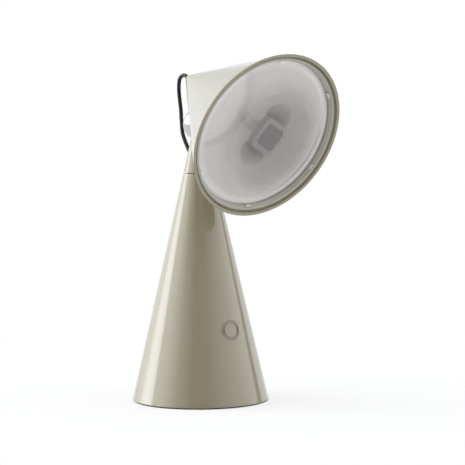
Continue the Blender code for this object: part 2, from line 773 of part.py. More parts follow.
def make_lens(head):
    """Domed clear lens with six edge tabs, and the bezel ring that holds it in the lip."""
    edge_front = RING_BACK - GAP
    front = dome(LENS_POLE, LENS_OPENING_RADIUS - 0.3, edge_front, 6)
    back = dome(LENS_POLE - LENS_THICKNESS, LENS_OPENING_RADIUS - 2.0, LENS_EDGE_BACK + 0.1, 5)
    outline = [(LENS_EDGE_RADIUS, LENS_EDGE_BACK), (LENS_EDGE_RADIUS, edge_front)] + front + back[::-1]
    outline += [(LENS_OPENING_RADIUS - 2.0, LENS_EDGE_BACK)]
    lens = turned("cover_lens", outline, "clear_acrylic", head, steps=DISC_STEPS)
    boolean(lens, tab_blocks("lens_tabs", 5.0, 61.0, 62.6, LENS_EDGE_BACK + 0.4, 115.2, head), "UNION")
    fit = GAP / math.cos(HEAD_HALF_ANGLE)
    shoulder = 114.1
    ring = turned("lens_ring", [
        (LENS_OPENING_RADIUS, RING_BACK),
        (head_inner_radius(RING_BACK) - fit, RING_BACK),
        (head_inner_radius(shoulder) - fit, shoulder),
        (RING_OUTER_RADIUS, RING_FRONT),
        (LENS_OPENING_RADIUS, RING_FRONT),
    ], "grey_plastic", head, steps=SHELL_STEPS)
    boolean(ring, tab_blocks("tab_notches", 5.6, 58.0, 62.9, 109.0, 117.0, head))


def make_apex_gland(head):
    """Bush that holds the cable in the head's apex."""
    front = APEX_FLAT_RADIUS / HEAD_SLOPE
    turned("apex_gland", [
        (CABLE_RADIUS + GAP, front - 0.3),
        (APEX_BORE_RADIUS - GAP, front - 0.3),
        (APEX_BORE_RADIUS - GAP, 12.0),
        (3.9, 12.0),
        (3.9, 13.4),
        (CABLE_RADIUS + GAP, 13.4),
    ], "rubber", head, steps=SMALL_STEPS)


def head_point(station):
    """World point in millimetres on the head's axis at a station."""
    tilt = math.radians(HEAD_TILT)
    along = station - HEAD_APEX_BACK
    y = -math.cos(tilt) * along - math.sin(tilt) * HEAD_AXIS_OFFSET
    z = BALL_HEIGHT - math.sin(tilt) * along + math.cos(tilt) * HEAD_AXIS_OFFSET
    return (0.0, y, z)


def make_leads():
    """Cable from the heat sink out of the apex, round the ball and down the spindle, and the lead below it."""
    loop = [
        (17.2, 260.9), (21.6, 261.0), (25.2, 258.4), (26.6, 254.0), (26.7, 248.0), (25.6, 240.6),
        (24.2, 233.0), (23.7, 226.6), (23.1, 220.6), (22.2, 215.0), (20.1, 210.4), (17.0, 205.6), (13.9, 201.3),
        (11.6, 198.6), (9.0, 196.4), (6.6, 194.4), (3.6, 192.3), (1.2, 189.8), (0.2, 186.6), (0.0, 183.0),
        (0.0, 177.0),
    ]
    route = [head_point(SINK_BACK - GAP), head_point(45.0), head_point(28.0), head_point(15.0), head_point(7.0)]
    route += [(0.0, y, z) for y, z in loop]
    route += [(0.0, 0.0, SPINDLE_LOW + GAP / 2)]
    tube_along("cable", route, CABLE_RADIUS, "cable_jacket", 5.0)
    board_top = INLET_HEIGHT - 3.3 / 2 - GAP
    lead = [
        (0.0, 0.0, SPINDLE_LOW - GAP / 2), (0.0, 0.0, 158.0), (0.0, 2.5, 138.0), (0.0, 8.5, 112.0),
        (0.0, 15.0, 86.0), (0.0, 20.0, 60.0), (0.0, 23.5, 38.0), (0.0, 24.5, 28.0), (0.0, 24.5, board_top + GAP),
    ]
    tube_along("base_lead", lead, LEAD_RADIUS, "cable_jacket", 8.0)


def main():
    """Build the lamp from the foot up."""
    clear_scene()
    base = empty("base_origin", (0.0, 0.0, 0.0))
    neck = empty("swivel_axis", (0.0, 0.0, SEAM_HEIGHT))
    tilt_turn = math.radians(90.0 + HEAD_TILT)
    tilt = empty("tilt_axis", (0.0, 0.0, BALL_HEIGHT - SEAM_HEIGHT), tilt_turn, neck)
    head = empty("head_axis", (0.0, HEAD_AXIS_OFFSET, -HEAD_APEX_BACK), 0.0, tilt)
    seat_axis = empty("seat_axis", (0.0, 0.0, 0.0), HEAD_HALF_ANGLE - math.pi / 2, tilt)
    button_point = (0.0, -base_radius(BUTTON_HEIGHT), BUTTON_HEIGHT)
    button_axis = empty("button_axis", button_point, math.pi / 2 - BASE_HALF_ANGLE)
    inlet_axis = empty("inlet_axis", (0.0, 0.0, INLET_HEIGHT), -math.pi / 2)
    entry_axis = empty("entry_axis", (0.0, 8.7, 196.2 - SEAM_HEIGHT), -math.radians(50.0), neck)

    make_foot_and_plate(base)
    make_base_shell(base, button_axis, inlet_axis)
    envelope = cone_envelope(base)
    make_button(button_axis, envelope)
    make_inlet(base, inlet_axis, envelope)
    make_battery(base)
    make_swivel(base, neck)
    make_neck(neck, entry_axis)
    make_ball(neck)
    make_head_shell(head, tilt)
    make_seat(head, seat_axis)
    make_light_engine(head)
    make_reflector(head)
    make_lens(head)
    make_apex_gland(head)
    make_leads()


main()
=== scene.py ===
"""Dressed scene of a portable table lamp: lacquered base cone, neck with a chromed ball, and cone head.

Lengths are millimetres in each part's own frame, and MM turns them into the row's metres as a piece is
placed. The head and the button face -Y, and the cable and the charging inlet are at the back, +Y.
"""

import json
import logging
import math
from dataclasses import dataclass, field
from enum import Enum
from typing import Optional, Sequence, Union

import bmesh
import bpy
from mathutils import Matrix, Vector


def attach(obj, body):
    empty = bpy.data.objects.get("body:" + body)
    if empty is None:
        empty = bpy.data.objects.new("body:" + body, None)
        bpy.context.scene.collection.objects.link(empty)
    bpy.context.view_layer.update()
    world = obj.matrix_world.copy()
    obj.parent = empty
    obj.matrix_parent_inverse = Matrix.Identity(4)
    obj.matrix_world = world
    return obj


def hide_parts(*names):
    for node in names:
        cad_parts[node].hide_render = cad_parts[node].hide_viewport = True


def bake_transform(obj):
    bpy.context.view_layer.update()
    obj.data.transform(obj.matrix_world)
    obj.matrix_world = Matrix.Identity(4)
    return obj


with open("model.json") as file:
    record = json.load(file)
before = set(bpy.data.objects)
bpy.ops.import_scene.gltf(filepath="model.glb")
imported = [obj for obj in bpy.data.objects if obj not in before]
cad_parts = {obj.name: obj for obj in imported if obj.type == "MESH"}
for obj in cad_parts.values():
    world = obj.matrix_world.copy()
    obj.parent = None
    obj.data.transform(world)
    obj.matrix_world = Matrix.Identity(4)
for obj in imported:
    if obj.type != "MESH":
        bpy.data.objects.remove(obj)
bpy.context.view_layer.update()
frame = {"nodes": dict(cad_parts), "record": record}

MM = 0.001
LOG = logging.getLogger("lamp")

Point = tuple[float, float]
Colour = tuple[float, float, float, float]
Value = Union[float, Sequence[float], bpy.types.NodeSocket]


class Body(Enum):
    """The bodies that pieces ride on."""

    BASE = "base"
    BUTTON = "button"
    NECK = "neck"
    HEAD = "head"


class Cut(Enum):
    """What a cutter does to the piece that it meets."""

    AWAY = "DIFFERENCE"
    KEEP = "INTERSECT"
    JOIN = "UNION"


# ---- nodes and colours -------------------------------------------------------------------------


def linear(code: str) -> Colour:
    """Turn an sRGB hex colour into linear RGBA.

    Args:
        code: Six hex digits.

    Returns:
        Linear red, green, blue and an alpha of 1.
    """
    channels = [int(code[start:start + 2], 16) / 255.0 for start in (0, 2, 4)]
    toe = 0.04045
    red, green, blue = (c / 12.92 if c <= toe else ((c + 0.055) / 1.055) ** 2.4 for c in channels)
    return red, green, blue, 1.0


def shade(colour: Colour, factor: float) -> Colour:
    """Make a linear colour darker or lighter.

    Args:
        colour: Linear RGBA.
        factor: Multiplier of the three channels.

    Returns:
        The changed colour, with its alpha kept.
    """
    return colour[0] * factor, colour[1] * factor, colour[2] * factor, colour[3]


def add_node(
    tree: bpy.types.NodeTree,
    kind: str,
    inputs: Optional[dict[Union[str, int], Value]] = None,
    **settings: Union[str, float, bool],
) -> bpy.types.Node:
    """Add a node with its settings and links.

    Args:
        tree: Node tree that takes the node.
        kind: Blender's type name for the node.
        inputs: A value, or another node's output to link, for each input by name or number.
        **settings: Properties of the node itself.

    Returns:
        The new node.
    """
    node = tree.nodes.new(kind)
    for key, value in settings.items():
        setattr(node, key, value)
    for key, value in (inputs or {}).items():
        if isinstance(value, bpy.types.NodeSocket):
            tree.links.new(value, node.inputs[key])
        else:
            node.inputs[key].default_value = value
    return node


# ---- finishes ----------------------------------------------------------------------------------


@dataclass(frozen=True)
class Finish:
    """A surface with a slow drift in colour, an uneven gloss and a fine grain.

    Attributes:
        name: The material's name, for what it is made of and how.
        colour: Its colour as sRGB hex.
        roughness: Mean roughness.
        gloss_spread: How far the roughness strays from its mean.
        metallic: 1 for bare metal.
        drift: Share by which the colour strays.
        blotch_mm: Size of the drift's patches.
        grain_mm: Size of the surface's grain.
        grain_depth_mm: Height of that grain.
        coat: Weight of a clear coat.
        coat_roughness: Roughness of the clear coat.
        transmission: 1 for a clear material.
        ior: Index of refraction; metals keep the default.
    """

    name: str
    colour: str
    roughness: float
    gloss_spread: float = 0.04
    metallic: float = 0.0
    drift: float = 0.03
    blotch_mm: float = 25.0
    grain_mm: float = 0.6
    grain_depth_mm: float = 0.002
    coat: float = 0.0
    coat_roughness: float = 0.03
    coat_ior: float = 1.5
    transmission: float = 0.0
    ior: float = 1.5

    def build(self) -> bpy.types.Material:
        """Return the finish's material, made at its first use."""
        made = bpy.data.materials.get(self.name)
        if made is None:
            made = bpy.data.materials.new(self.name)
            made.use_nodes = True
            made.node_tree.nodes.clear()
            self.wire(made.node_tree)
        return made

    def place_coordinates(self, tree: bpy.types.NodeTree) -> bpy.types.NodeSocket:
        """Return the coordinates that the patterns read, in metres in the row's frame."""
        return add_node(tree, "ShaderNodeTexCoord").outputs["Object"]

    def lay_colour(self, tree: bpy.types.NodeTree, where: bpy.types.NodeSocket,
                   patches: bpy.types.NodeSocket) -> bpy.types.NodeSocket:
        """Lay the nodes of the colour with its slow drift.

        Args:
            tree: The material's node tree.
            where: The coordinates that patterns read.
            patches: Strength of the drift, from 0 to 1.

        Returns:
            The colour.
        """
        base = linear(self.colour)
        drifted = add_node(
            tree,
            "ShaderNodeMix",
            {"Factor": patches, 6: shade(base, 1.0 - self.drift), 7: shade(base, 1.0 + self.drift)},
            data_type="RGBA",
        )
        return drifted.outputs[2]

    def wire(self, tree: bpy.types.NodeTree) -> bpy.types.Node:
        """Lay the finish's nodes.

        Args:
            tree: The material's empty node tree.

        Returns:
            The Principled shader.
        """
        where = self.place_coordinates(tree)
        patches = add_node(
            tree, "ShaderNodeTexNoise", {"Vector": where, "Scale": 1.0 / (self.blotch_mm * MM), "Detail": 3.0}
        )
        grain = add_node(
            tree, "ShaderNodeTexNoise", {"Vector": where, "Scale": 1.0 / (self.grain_mm * MM), "Detail": 2.0}
        )
        tint = self.lay_colour(tree, where, patches.outputs["Fac"])
        gloss = add_node(
            tree,
            "ShaderNodeMapRange",
            {
                "Value": patches.outputs["Fac"],
                "From Min": 0.3,
                "From Max": 0.7,
                "To Min": max(self.roughness - self.gloss_spread, 0.0),
                "To Max": self.roughness + self.gloss_spread,
            },
        )
        relief = add_node(
            tree,
            "ShaderNodeBump",
            {"Height": grain.outputs["Fac"], "Distance": self.grain_depth_mm * MM, "Strength": 1.0},
        )
        shader = add_node(
            tree,
            "ShaderNodeBsdfPrincipled",
            {
                "Base Color": tint,
                "Roughness": gloss.outputs["Result"],
                "Metallic": self.metallic,
                "IOR": self.ior,
                "Coat Weight": self.coat,
                "Coat Roughness": self.coat_roughness,
                "Coat IOR": self.coat_ior,
                "Transmission Weight": self.transmission,
                "Normal": relief.outputs["Normal"],
            },
        )
        add_node(tree, "ShaderNodeOutputMaterial", {"Surface": shader.outputs["BSDF"]})
        return shader


@dataclass(frozen=True)
class GradedFinish(Finish):
    """A finish whose colour and clearness change with the distance from an axis.

    Attributes:
        start: A point on the axis, in millimetres.
        toward: The axis's direction.
        stops: Distances in millimetres, each with the colour there as sRGB hex.
        edge_transmission: Transmission at the last of those distances.
        edge_band: Distance from which it falls to that.
        centre: A point on the axis of the frosted rim, in millimetres.
        rim: Distances from that axis between which the rim turns frosted.
        rim_share: Share of the transmission that is left there.
        beyond: Distances from that axis between which it turns clear again.
    """

    start: tuple[float, float, float] = (0.0, 0.0, 0.0)
    toward: tuple[float, float, float] = (0.0, 0.0, 1.0)
    stops: tuple[tuple[float, str], ...] = ()
    edge_transmission: float = 0.0
    edge_band: float = 0.0
    centre: tuple[float, float, float] = (0.0, 0.0, 0.0)
    rim: Point = (53.0, 59.5)
    rim_share: float = 0.26
    beyond: Point = (61.0, 61.6)

    def distance(self, tree: bpy.types.NodeTree, where: bpy.types.NodeSocket,
                 start: tuple[float, float, float]) -> bpy.types.NodeSocket:
        """Lay the nodes of the distance from an axis through a point, in metres."""
        origin = tuple(value * MM for value in start)
        arm = add_node(tree, "ShaderNodeVectorMath", {0: where, 1: origin}, operation="SUBTRACT")
        across = add_node(
            tree, "ShaderNodeVectorMath", {0: arm.outputs["Vector"], 1: self.toward}, operation="CROSS_PRODUCT"
        )
        reach = add_node(tree, "ShaderNodeVectorMath", {0: across.outputs["Vector"]}, operation="LENGTH")
        return reach.outputs["Value"]

    def lay_colour(self, tree: bpy.types.NodeTree, where: bpy.types.NodeSocket,
                   patches: bpy.types.NodeSocket) -> bpy.types.NodeSocket:
        """Lay the nodes of the colour by distance from the axis.

        Args:
            tree: The material's node tree.
            where: The coordinates that patterns read.
            patches: Strength of the drift, which this finish leaves out.

        Returns:
            The colour.
        """
        widest = self.stops[-1][0]
        share = add_node(
            tree, "ShaderNodeMapRange", {"Value": self.distance(tree, where, self.start), "From Max": widest * MM}
        )
        ramp = add_node(tree, "ShaderNodeValToRGB", {"Fac": share.outputs["Result"]})
        ramp.color_ramp.interpolation = "B_SPLINE"
        elements = ramp.color_ramp.elements
        for index, (distance, code) in enumerate(self.stops):
            stop = elements[index] if index < 2 else elements.new(distance / widest)
            stop.position = distance / widest
            stop.color = linear(code)
        return ramp.outputs["Color"]

    def wire(self, tree: bpy.types.NodeTree) -> bpy.types.Node:
        """Lay the finish's nodes, with the clearness that falls off.

        Args:
            tree: The material's empty node tree.

        Returns:
            The Principled shader.
        """
        shader = super().wire(tree)
        if self.transmission == 0.0:
            return shader
        where = self.place_coordinates(tree)
        rim = add_node(
            tree,
            "ShaderNodeMapRange",
            {
                "Value": self.distance(tree, where, self.centre),
                "From Min": self.rim[0] * MM,
                "From Max": self.rim[1] * MM,
                "To Min": 1.0,
                "To Max": self.rim_share,
            },
            interpolation_type="SMOOTHSTEP",
        )
        tabs = add_node(
            tree,
            "ShaderNodeMapRange",
            {
                "Value": self.distance(tree, where, self.centre),
                "From Min": self.beyond[0] * MM,
                "From Max": self.beyond[1] * MM,
                "To Min": 0.0,
                "To Max": 1.0,
            },
        )
        rest = add_node(
            tree, "ShaderNodeMath", {0: rim.outputs["Result"], 1: tabs.outputs["Result"]}, operation="MAXIMUM"
        )
        clear = add_node(
            tree,
            "ShaderNodeMapRange",
            {
                "Value": self.distance(tree, where, self.start),
                "From Min": self.edge_band * MM,
                "From Max": self.stops[-1][0] * MM,
                "To Min": self.transmission,
                "To Max": self.edge_transmission,
            },
            interpolation_type="SMOOTHSTEP",
        )
        weight = add_node(
            tree, "ShaderNodeMath", {0: clear.outputs["Result"], 1: rest.outputs["Value"]}, operation="MULTIPLY"
        )
        tree.links.new(weight.outputs["Value"], shader.inputs["Transmission Weight"])
        return shader


# High-gloss stove enamel on a spun cone, sprayed and flatted: deep colour under a clear hard surface, with
# the slight orange peel that makes long reflections waver
LACQUER = Finish(
    "gloss_lacquer_on_spun_metal", "978D75", 0.22, gloss_spread=0.02, drift=0.012, blotch_mm=60.0,
    grain_mm=3.0, grain_depth_mm=0.0009, coat=1.0, coat_roughness=0.012, coat_ior=1.66, ior=1.24,
)
# The same lacquer on the ring in the recess round the button, made a little darker as painted shade of the recess
LACQUER_WITH_PAINTED_RECESS_SHADE = Finish(
    "gloss_lacquer_with_painted_recess_shade", "888069", 0.34, drift=0.02, blotch_mm=12.0, grain_mm=3.0,
    grain_depth_mm=0.001, coat=0.6, coat_roughness=0.08,
)
# Injection-moulded ABS, spark-eroded mould: even satin with a very fine grain
BEZEL_PLASTIC = Finish("moulded_abs_grey", "B4AEA4", 0.32, grain_mm=0.5, grain_depth_mm=0.004)
BLACK_PLASTIC = Finish("moulded_abs_black", "1F1F20", 0.42, grain_mm=0.5, grain_depth_mm=0.006)
WHITE_PLASTIC = Finish("moulded_acetal_white", "E4E3DF", 0.38, grain_mm=0.6, grain_depth_mm=0.003)
# Moulded silicone rubber: matt, takes dust
RUBBER = Finish("moulded_silicone_rubber", "232322", 0.72, drift=0.10, blotch_mm=8.0, grain_mm=0.7,
                grain_depth_mm=0.010)
# The same rubber filled with chalk, as it is for seals that show
GREY_SEAL = Finish("grey_silicone_seal", "8A887F", 0.6, drift=0.04, blotch_mm=8.0, grain_mm=0.7,
                   grain_depth_mm=0.004)
# Extruded PVC jacket: smooth, with a soft gloss line along its length
JACKET = Finish("extruded_pvc_jacket", "0A0A0B", 0.26, gloss_spread=0.05, drift=0.08, blotch_mm=6.0,
                grain_mm=0.8, grain_depth_mm=0.003, ior=1.4)
# Polished and chromed steel ball: a hard mirror with faint handling haze
CHROME = Finish("chromed_steel_ball", "C4C5C7", 0.05, gloss_spread=0.02, metallic=1.0, drift=0.01,
                grain_mm=2.0, grain_depth_mm=0.0002)
STEEL = Finish("zinc_plated_steel", "B9BABC", 0.36, metallic=1.0, drift=0.05, grain_mm=0.5,
               grain_depth_mm=0.004)
ALUMINIUM = Finish("turned_aluminium", "D2D3D5", 0.30, metallic=1.0, drift=0.04, grain_mm=0.4,
                   grain_depth_mm=0.003)
# Vacuum-metallised polycarbonate: a soft mirror, hazed by the varnish under the aluminium
MIRROR_COAT = Finish("metallised_reflector", "F1EDED", 0.52, gloss_spread=0.03, metallic=1.0, drift=0.02,
                     blotch_mm=18.0, grain_mm=1.6, grain_depth_mm=0.002)
# Die-cast shade under a bead-blasted satin anodising: an even pale metal that only hints at reflections
SHADE_METAL = Finish("bead_blasted_anodised_shade", "BEBEC0", 0.42, metallic=1.0, drift=0.02, grain_mm=0.4,
                     grain_depth_mm=0.003)
# Smoked polycarbonate over the back of the LEDs: dark grey and smooth
SMOKED_PLASTIC = Finish("smoked_polycarbonate", "323233", 0.30, drift=0.03, grain_mm=0.6,
                        grain_depth_mm=0.002)
# Injection-moulded PMMA with a satin mould face inside and a polished one outside: it blurs what lies deep
# in the bowl, keeps what touches it sharp, and is frosted towards its rim
# Its colour is painted darker towards the centre and paler towards the rim: painted shade of the dark parts behind it
ACRYLIC_WITH_PAINTED_SHADE = GradedFinish(
    "satin_acrylic_with_painted_shade", "F4F2F5", 0.20, gloss_spread=0.02, drift=0.0, grain_mm=9.0,
    grain_depth_mm=0.0006, coat=1.0, coat_roughness=0.03, transmission=0.92, ior=1.49,
    start=(5.9, 19.6, 257.5), toward=(0.0, -0.929776, -0.368125),
    stops=((0.0, "D8D3D1"), (16.0, "DAD5D3"), (30.0, "E3DFDD"), (44.0, "EFEBE9"), (62.0, "F9F4F2")),
    edge_transmission=0.4, edge_band=26.0, centre=(-1.7, 17.8, 262.0),
)
# Painted shade: a thin leaf, dark under the square shade and graded paler towards its ends, that stands in for the
# shade beside that square
PAINTED_SHADE_LEAF = GradedFinish(
    "painted_shade_on_leaf", "3A3A3B", 0.45, gloss_spread=0.02, drift=0.0, grain_mm=0.6, grain_depth_mm=0.002,
    start=(0.0, 18.221, 260.989), toward=(0.0, -0.929776, -0.368125),
    stops=((0.0, "141415"), (14.5, "141415"), (16.5, "3A3A3B"), (18.5, "868484"), (21.0, "B0ADAD"),
           (25.0, "C8C5C5"), (28.5, "F0EDED")),
)
# Green solder mask over glass-epoxy board
BOARD = Finish("solder_masked_board", "1E5E38", 0.38, drift=0.10, blotch_mm=4.0, grain_mm=0.5,
               grain_depth_mm=0.006)
# Silicone with yellow phosphor over the diodes
PHOSPHOR = Finish("phosphor_silicone", "E3C24B", 0.45, drift=0.05, blotch_mm=2.0, grain_mm=0.3,
                  grain_depth_mm=0.006)
# Shrunk PVC sleeve on a cell
CELL_WRAP = Finish("shrunk_pvc_sleeve", "2F5C8C", 0.30, drift=0.04, blotch_mm=14.0, grain_mm=1.5,
                   grain_depth_mm=0.004)
# Nickel-plated sintered magnet
NICKEL = Finish("nickel_plated_magnet", "C8C5BE", 0.20, metallic=1.0, drift=0.02, grain_mm=0.5,
                grain_depth_mm=0.002)
# Gold-flashed contacts on the socket's tongue
GOLD = Finish("gold_flashed_contact", "D9B65C", 0.25, metallic=1.0, drift=0.02, grain_mm=0.3,
              grain_depth_mm=0.001)

SLOT_FINISHES = {
    "lacquer": LACQUER,
    "grey_plastic": BEZEL_PLASTIC,
    "black_plastic": BLACK_PLASTIC,
    "white_plastic": WHITE_PLASTIC,
    "rubber": RUBBER,
    "cable_jacket": JACKET,
    "steel": STEEL,
    "chrome": CHROME,
    "aluminium": ALUMINIUM,
    "mirror_coat": MIRROR_COAT,
    "clear_acrylic": ACRYLIC_WITH_PAINTED_SHADE,
    "circuit_board": BOARD,
    "led_phosphor": PHOSPHOR,
    "cell_wrap": CELL_WRAP,
    "magnet_plate": NICKEL,
}


# ---- shapes ------------------------------------------------------------------------------------


def arc(centre_height: float, radius: float, start: float, end: float, count: int) -> list[Point]:
    """Lay points on a circle about a centre on the axis.

    Args:
        centre_height: Height of the circle's centre.
        radius: The circle's radius.
        start: First angle, in degrees from the radial direction.
        end: Last angle.
        count: How many points.

    Returns:
        Points of (radius, height).
    """
    angles = [math.radians(start + (end - start) * index / (count - 1)) for index in range(count)]
    return [(max(radius * math.cos(a), 0.0), centre_height + radius * math.sin(a)) for a in angles]


def dome(pole: float, edge_radius: float, edge_height: float, count: int) -> list[Point]:
    """Lay points on a shallow dome.

    Args:
        pole: Height of the dome on its axis.
        edge_radius: Radius of its edge.
        edge_height: Height of its edge.
        count: How many points.

    Returns:
        Points of (radius, height) from the edge to the pole.
    """
    sag = pole - edge_height
    radius = (edge_radius * edge_radius + sag * sag) / (2 * sag)
    spread = math.degrees(math.asin(edge_radius / radius))
    return arc(pole - radius, radius, 90.0 - spread, 90.0, count)


def supported(outline: Sequence[Point], spacing: float = 4.0, margin: float = 0.5) -> list[Point]:
    """Add points along an outline's long stretches, the first and last of them close to the corners.

    The close points hold the shading of a long face flat up to its rounded edge.

    Args:
        outline: Closed outline of (radius, height) points.
        spacing: Longest stretch that is left whole.
        margin: Distance of the close points from a corner.

    Returns:
        The outline with its added points.
    """
    result: list[Point] = []
    for first, second in zip(outline, list(outline[1:]) + [outline[0]]):
        result.append(first)
        start, stop = Vector(first), Vector(second)
        length = (stop - start).length
        if length > 3.0 * margin and max(first[0], second[0]) > 0.0:
            pieces = max(1, round(length / spacing))
            reach = length - 2.0 * margin
            steps = [margin + reach * index / pieces for index in range(pieces + 1)]
            result += [tuple(start.lerp(stop, step / length)) for step in steps]
    return result


def spun(outline: Sequence[Point], steps: int = 160) -> bmesh.types.BMesh:
    """Spin a closed outline of (radius, height) points about the Z axis.

    Args:
        outline: The outline, in order.
        steps: Facets round the turn.

    Returns:
        A closed mesh.
    """
    shape = bmesh.new()
    points = [shape.verts.new((radius, 0.0, height)) for radius, height in outline]
    for first, second in zip(points, points[1:] + points[:1]):
        if first.co.x > 0.0 or second.co.x > 0.0:
            shape.edges.new((first, second))
    bmesh.ops.spin(
        shape,
        geom=shape.verts[:] + shape.edges[:],
        axis=(0.0, 0.0, 1.0),
        angle=math.tau,
        steps=steps,
        use_merge=True,
    )
    bmesh.ops.remove_doubles(shape, verts=shape.verts, dist=0.0005)
    bmesh.ops.recalc_face_normals(shape, faces=shape.faces)
    return shape


def rounded_rectangle(width: float, height: float, corner: float, corner_steps: int = 8) -> list[Point]:
    """Outline a rectangle with round corners.

    Args:
        width: Size along X.
        height: Size along Y.
        corner: Radius of the corners.
        corner_steps: Facets in each corner.

    Returns:
        The outline's (x, y) points.
    """
    outline = []
    for quarter, (sx, sy) in enumerate(((1, 1), (-1, 1), (-1, -1), (1, -1))):
        for index in range(corner_steps + 1):
            angle = math.pi / 2 * (quarter + index / corner_steps)
            x = sx * (width / 2 - corner) + corner * math.cos(angle)
            y = sy * (height / 2 - corner) + corner * math.sin(angle)
            outline.append((x, y))
    return outline


def extruded(outline: Sequence[Point], low: float, high: float) -> bmesh.types.BMesh:
    """Extrude a closed (x, y) outline along Z.

    Args:
        outline: The outline's points in order.
        low: Height of its lower face.
        high: Height of its upper face.

    Returns:
        A closed mesh.
    """
    shape = bmesh.new()
    face = shape.faces.new([shape.verts.new((x, y, low)) for x, y in outline])
    pulled = bmesh.ops.extrude_face_region(shape, geom=[face])
    tops = [item for item in pulled["geom"] if isinstance(item, bmesh.types.BMVert)]
    bmesh.ops.translate(shape, verts=tops, vec=(0.0, 0.0, high - low))
    bmesh.ops.recalc_face_normals(shape, faces=shape.faces)
    return shape


def soften(shape: bmesh.types.BMesh, width: float, segments: int = 3, sharper_than: float = 28.0) -> None:
    """Round the sharp edges of a mesh.

    Args:
        shape: The mesh, changed in place.
        width: Size of the rounding.
        segments: Facets across it.
        sharper_than: Least angle between two faces, in degrees, that counts as sharp.
    """
    limit = math.radians(sharper_than)
    sharp = [edge for edge in shape.edges if len(edge.link_faces) == 2 and edge.calc_face_angle() > limit]
    bmesh.ops.bevel(
        shape,
        geom=sharp,
        offset=width,
        segments=segments,
        profile=0.5,
        affect="EDGES",
        material=-1,
        clamp_overlap=True,
    )


def blocks(count: int, turn: float, width: float, inner: float, outer: float, low: float,
           high: float) -> bmesh.types.BMesh:
    """Set equal blocks in a ring about the Z axis.

    Args:
        count: How many blocks.
        turn: Angle of the first, in degrees.
        width: Size of each along the ring.
        inner: Nearest radius.
        outer: Farthest radius.
        low: Height of the lower faces.
        high: Height of the upper faces.

    Returns:
        The blocks as one mesh.
    """
    shape = bmesh.new()
    for number in range(count):
        cube = bmesh.ops.create_cube(shape, size=1.0)["verts"]
        bmesh.ops.scale(shape, vec=(outer - inner, width, high - low), verts=cube)
        bmesh.ops.translate(shape, vec=((inner + outer) / 2, 0.0, (low + high) / 2), verts=cube)
        spin = Matrix.Rotation(math.radians(turn) + math.tau * number / count, 3, "Z")
        bmesh.ops.rotate(shape, cent=(0.0, 0.0, 0.0), matrix=spin, verts=cube)
    return shape


def as_object(shape: bmesh.types.BMesh, name: str, placement: Matrix) -> bpy.types.Object:
    """Make an object of a mesh in millimetres, at the origin, with its place in its mesh.

    Args:
        shape: The mesh in its own frame, freed here.
        name: The object's name.
        placement: The frame's place in the row's frame, in millimetres.

    Returns:
        The new object.
    """
    shape.transform(Matrix.Scale(MM, 4) @ placement)
    mesh = bpy.data.meshes.new(name)
    shape.to_mesh(mesh)
    shape.free()
    mesh.shade_smooth()
    mesh.set_sharp_from_angle(angle=math.radians(34))
    made = bpy.data.objects.new(name, mesh)
    bpy.context.scene.collection.objects.link(made)
    return made


def carve(piece: bpy.types.Object, cutter: bpy.types.Object, cut: Cut) -> None:
    """Cut a piece with another object, which is used up.

    Args:
        piece: The piece, whose mesh is replaced.
        cutter: The cutting object, removed here.
        cut: What the cutter does.
    """
    step = piece.modifiers.new("cut", "BOOLEAN")
    step.operation = cut.value
    step.object = cutter
    step.solver = "EXACT"
    graph = bpy.context.evaluated_depsgraph_get()
    mesh = bpy.data.meshes.new_from_object(piece.evaluated_get(graph))
    piece.modifiers.clear()
    used = piece.data
    piece.data = mesh
    mesh.name = piece.name
    mesh.shade_smooth()
    mesh.set_sharp_from_angle(angle=math.radians(34))
    bpy.data.meshes.remove(used)
    bpy.data.objects.remove(cutter, do_unlink=True)


@dataclass
class Assembly:
    """Pieces that ride on one body and share a frame.

    Attributes:
        body: The body that they ride on.
        placement: Their frame's place in the row's frame, in millimetres.
    """

    body: Body
    placement: Matrix = field(default_factory=lambda: Matrix.Identity(4))

    def cutter(self, shape: bmesh.types.BMesh, placement: Optional[Matrix] = None) -> bpy.types.Object:
        """Place a cutting shape, in the assembly's own frame unless another is given."""
        return as_object(shape, "cutter", placement or self.placement)

    def add(
        self,
        shape: bmesh.types.BMesh,
        name: str,
        finish: Finish,
        slot: str,
        nodes: Sequence[str] = (),
        placement: Optional[Matrix] = None,
    ) -> bpy.types.Object:
        """Place and dress a piece, and say what it rides on and stands for.

        Args:
            shape: The piece's mesh in its own frame.
            name: The piece's name.
            finish: Its finish.
            slot: The record's material slot of the piece; not used.
            nodes: The nodes that it replaces.
            placement: Its frame's place, where it isn't the assembly's own.

        Returns:
            The piece.
        """
        piece = as_object(shape, name, placement or self.placement)
        piece.data.materials.append(finish.build())
        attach(piece, self.body.value)
        if nodes:
            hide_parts(*nodes)
        LOG.info("%s rides on %s in %s", name, self.body.value, finish.name)
        return piece


# ---- the lamp ----------------------------------------------------------------------------------


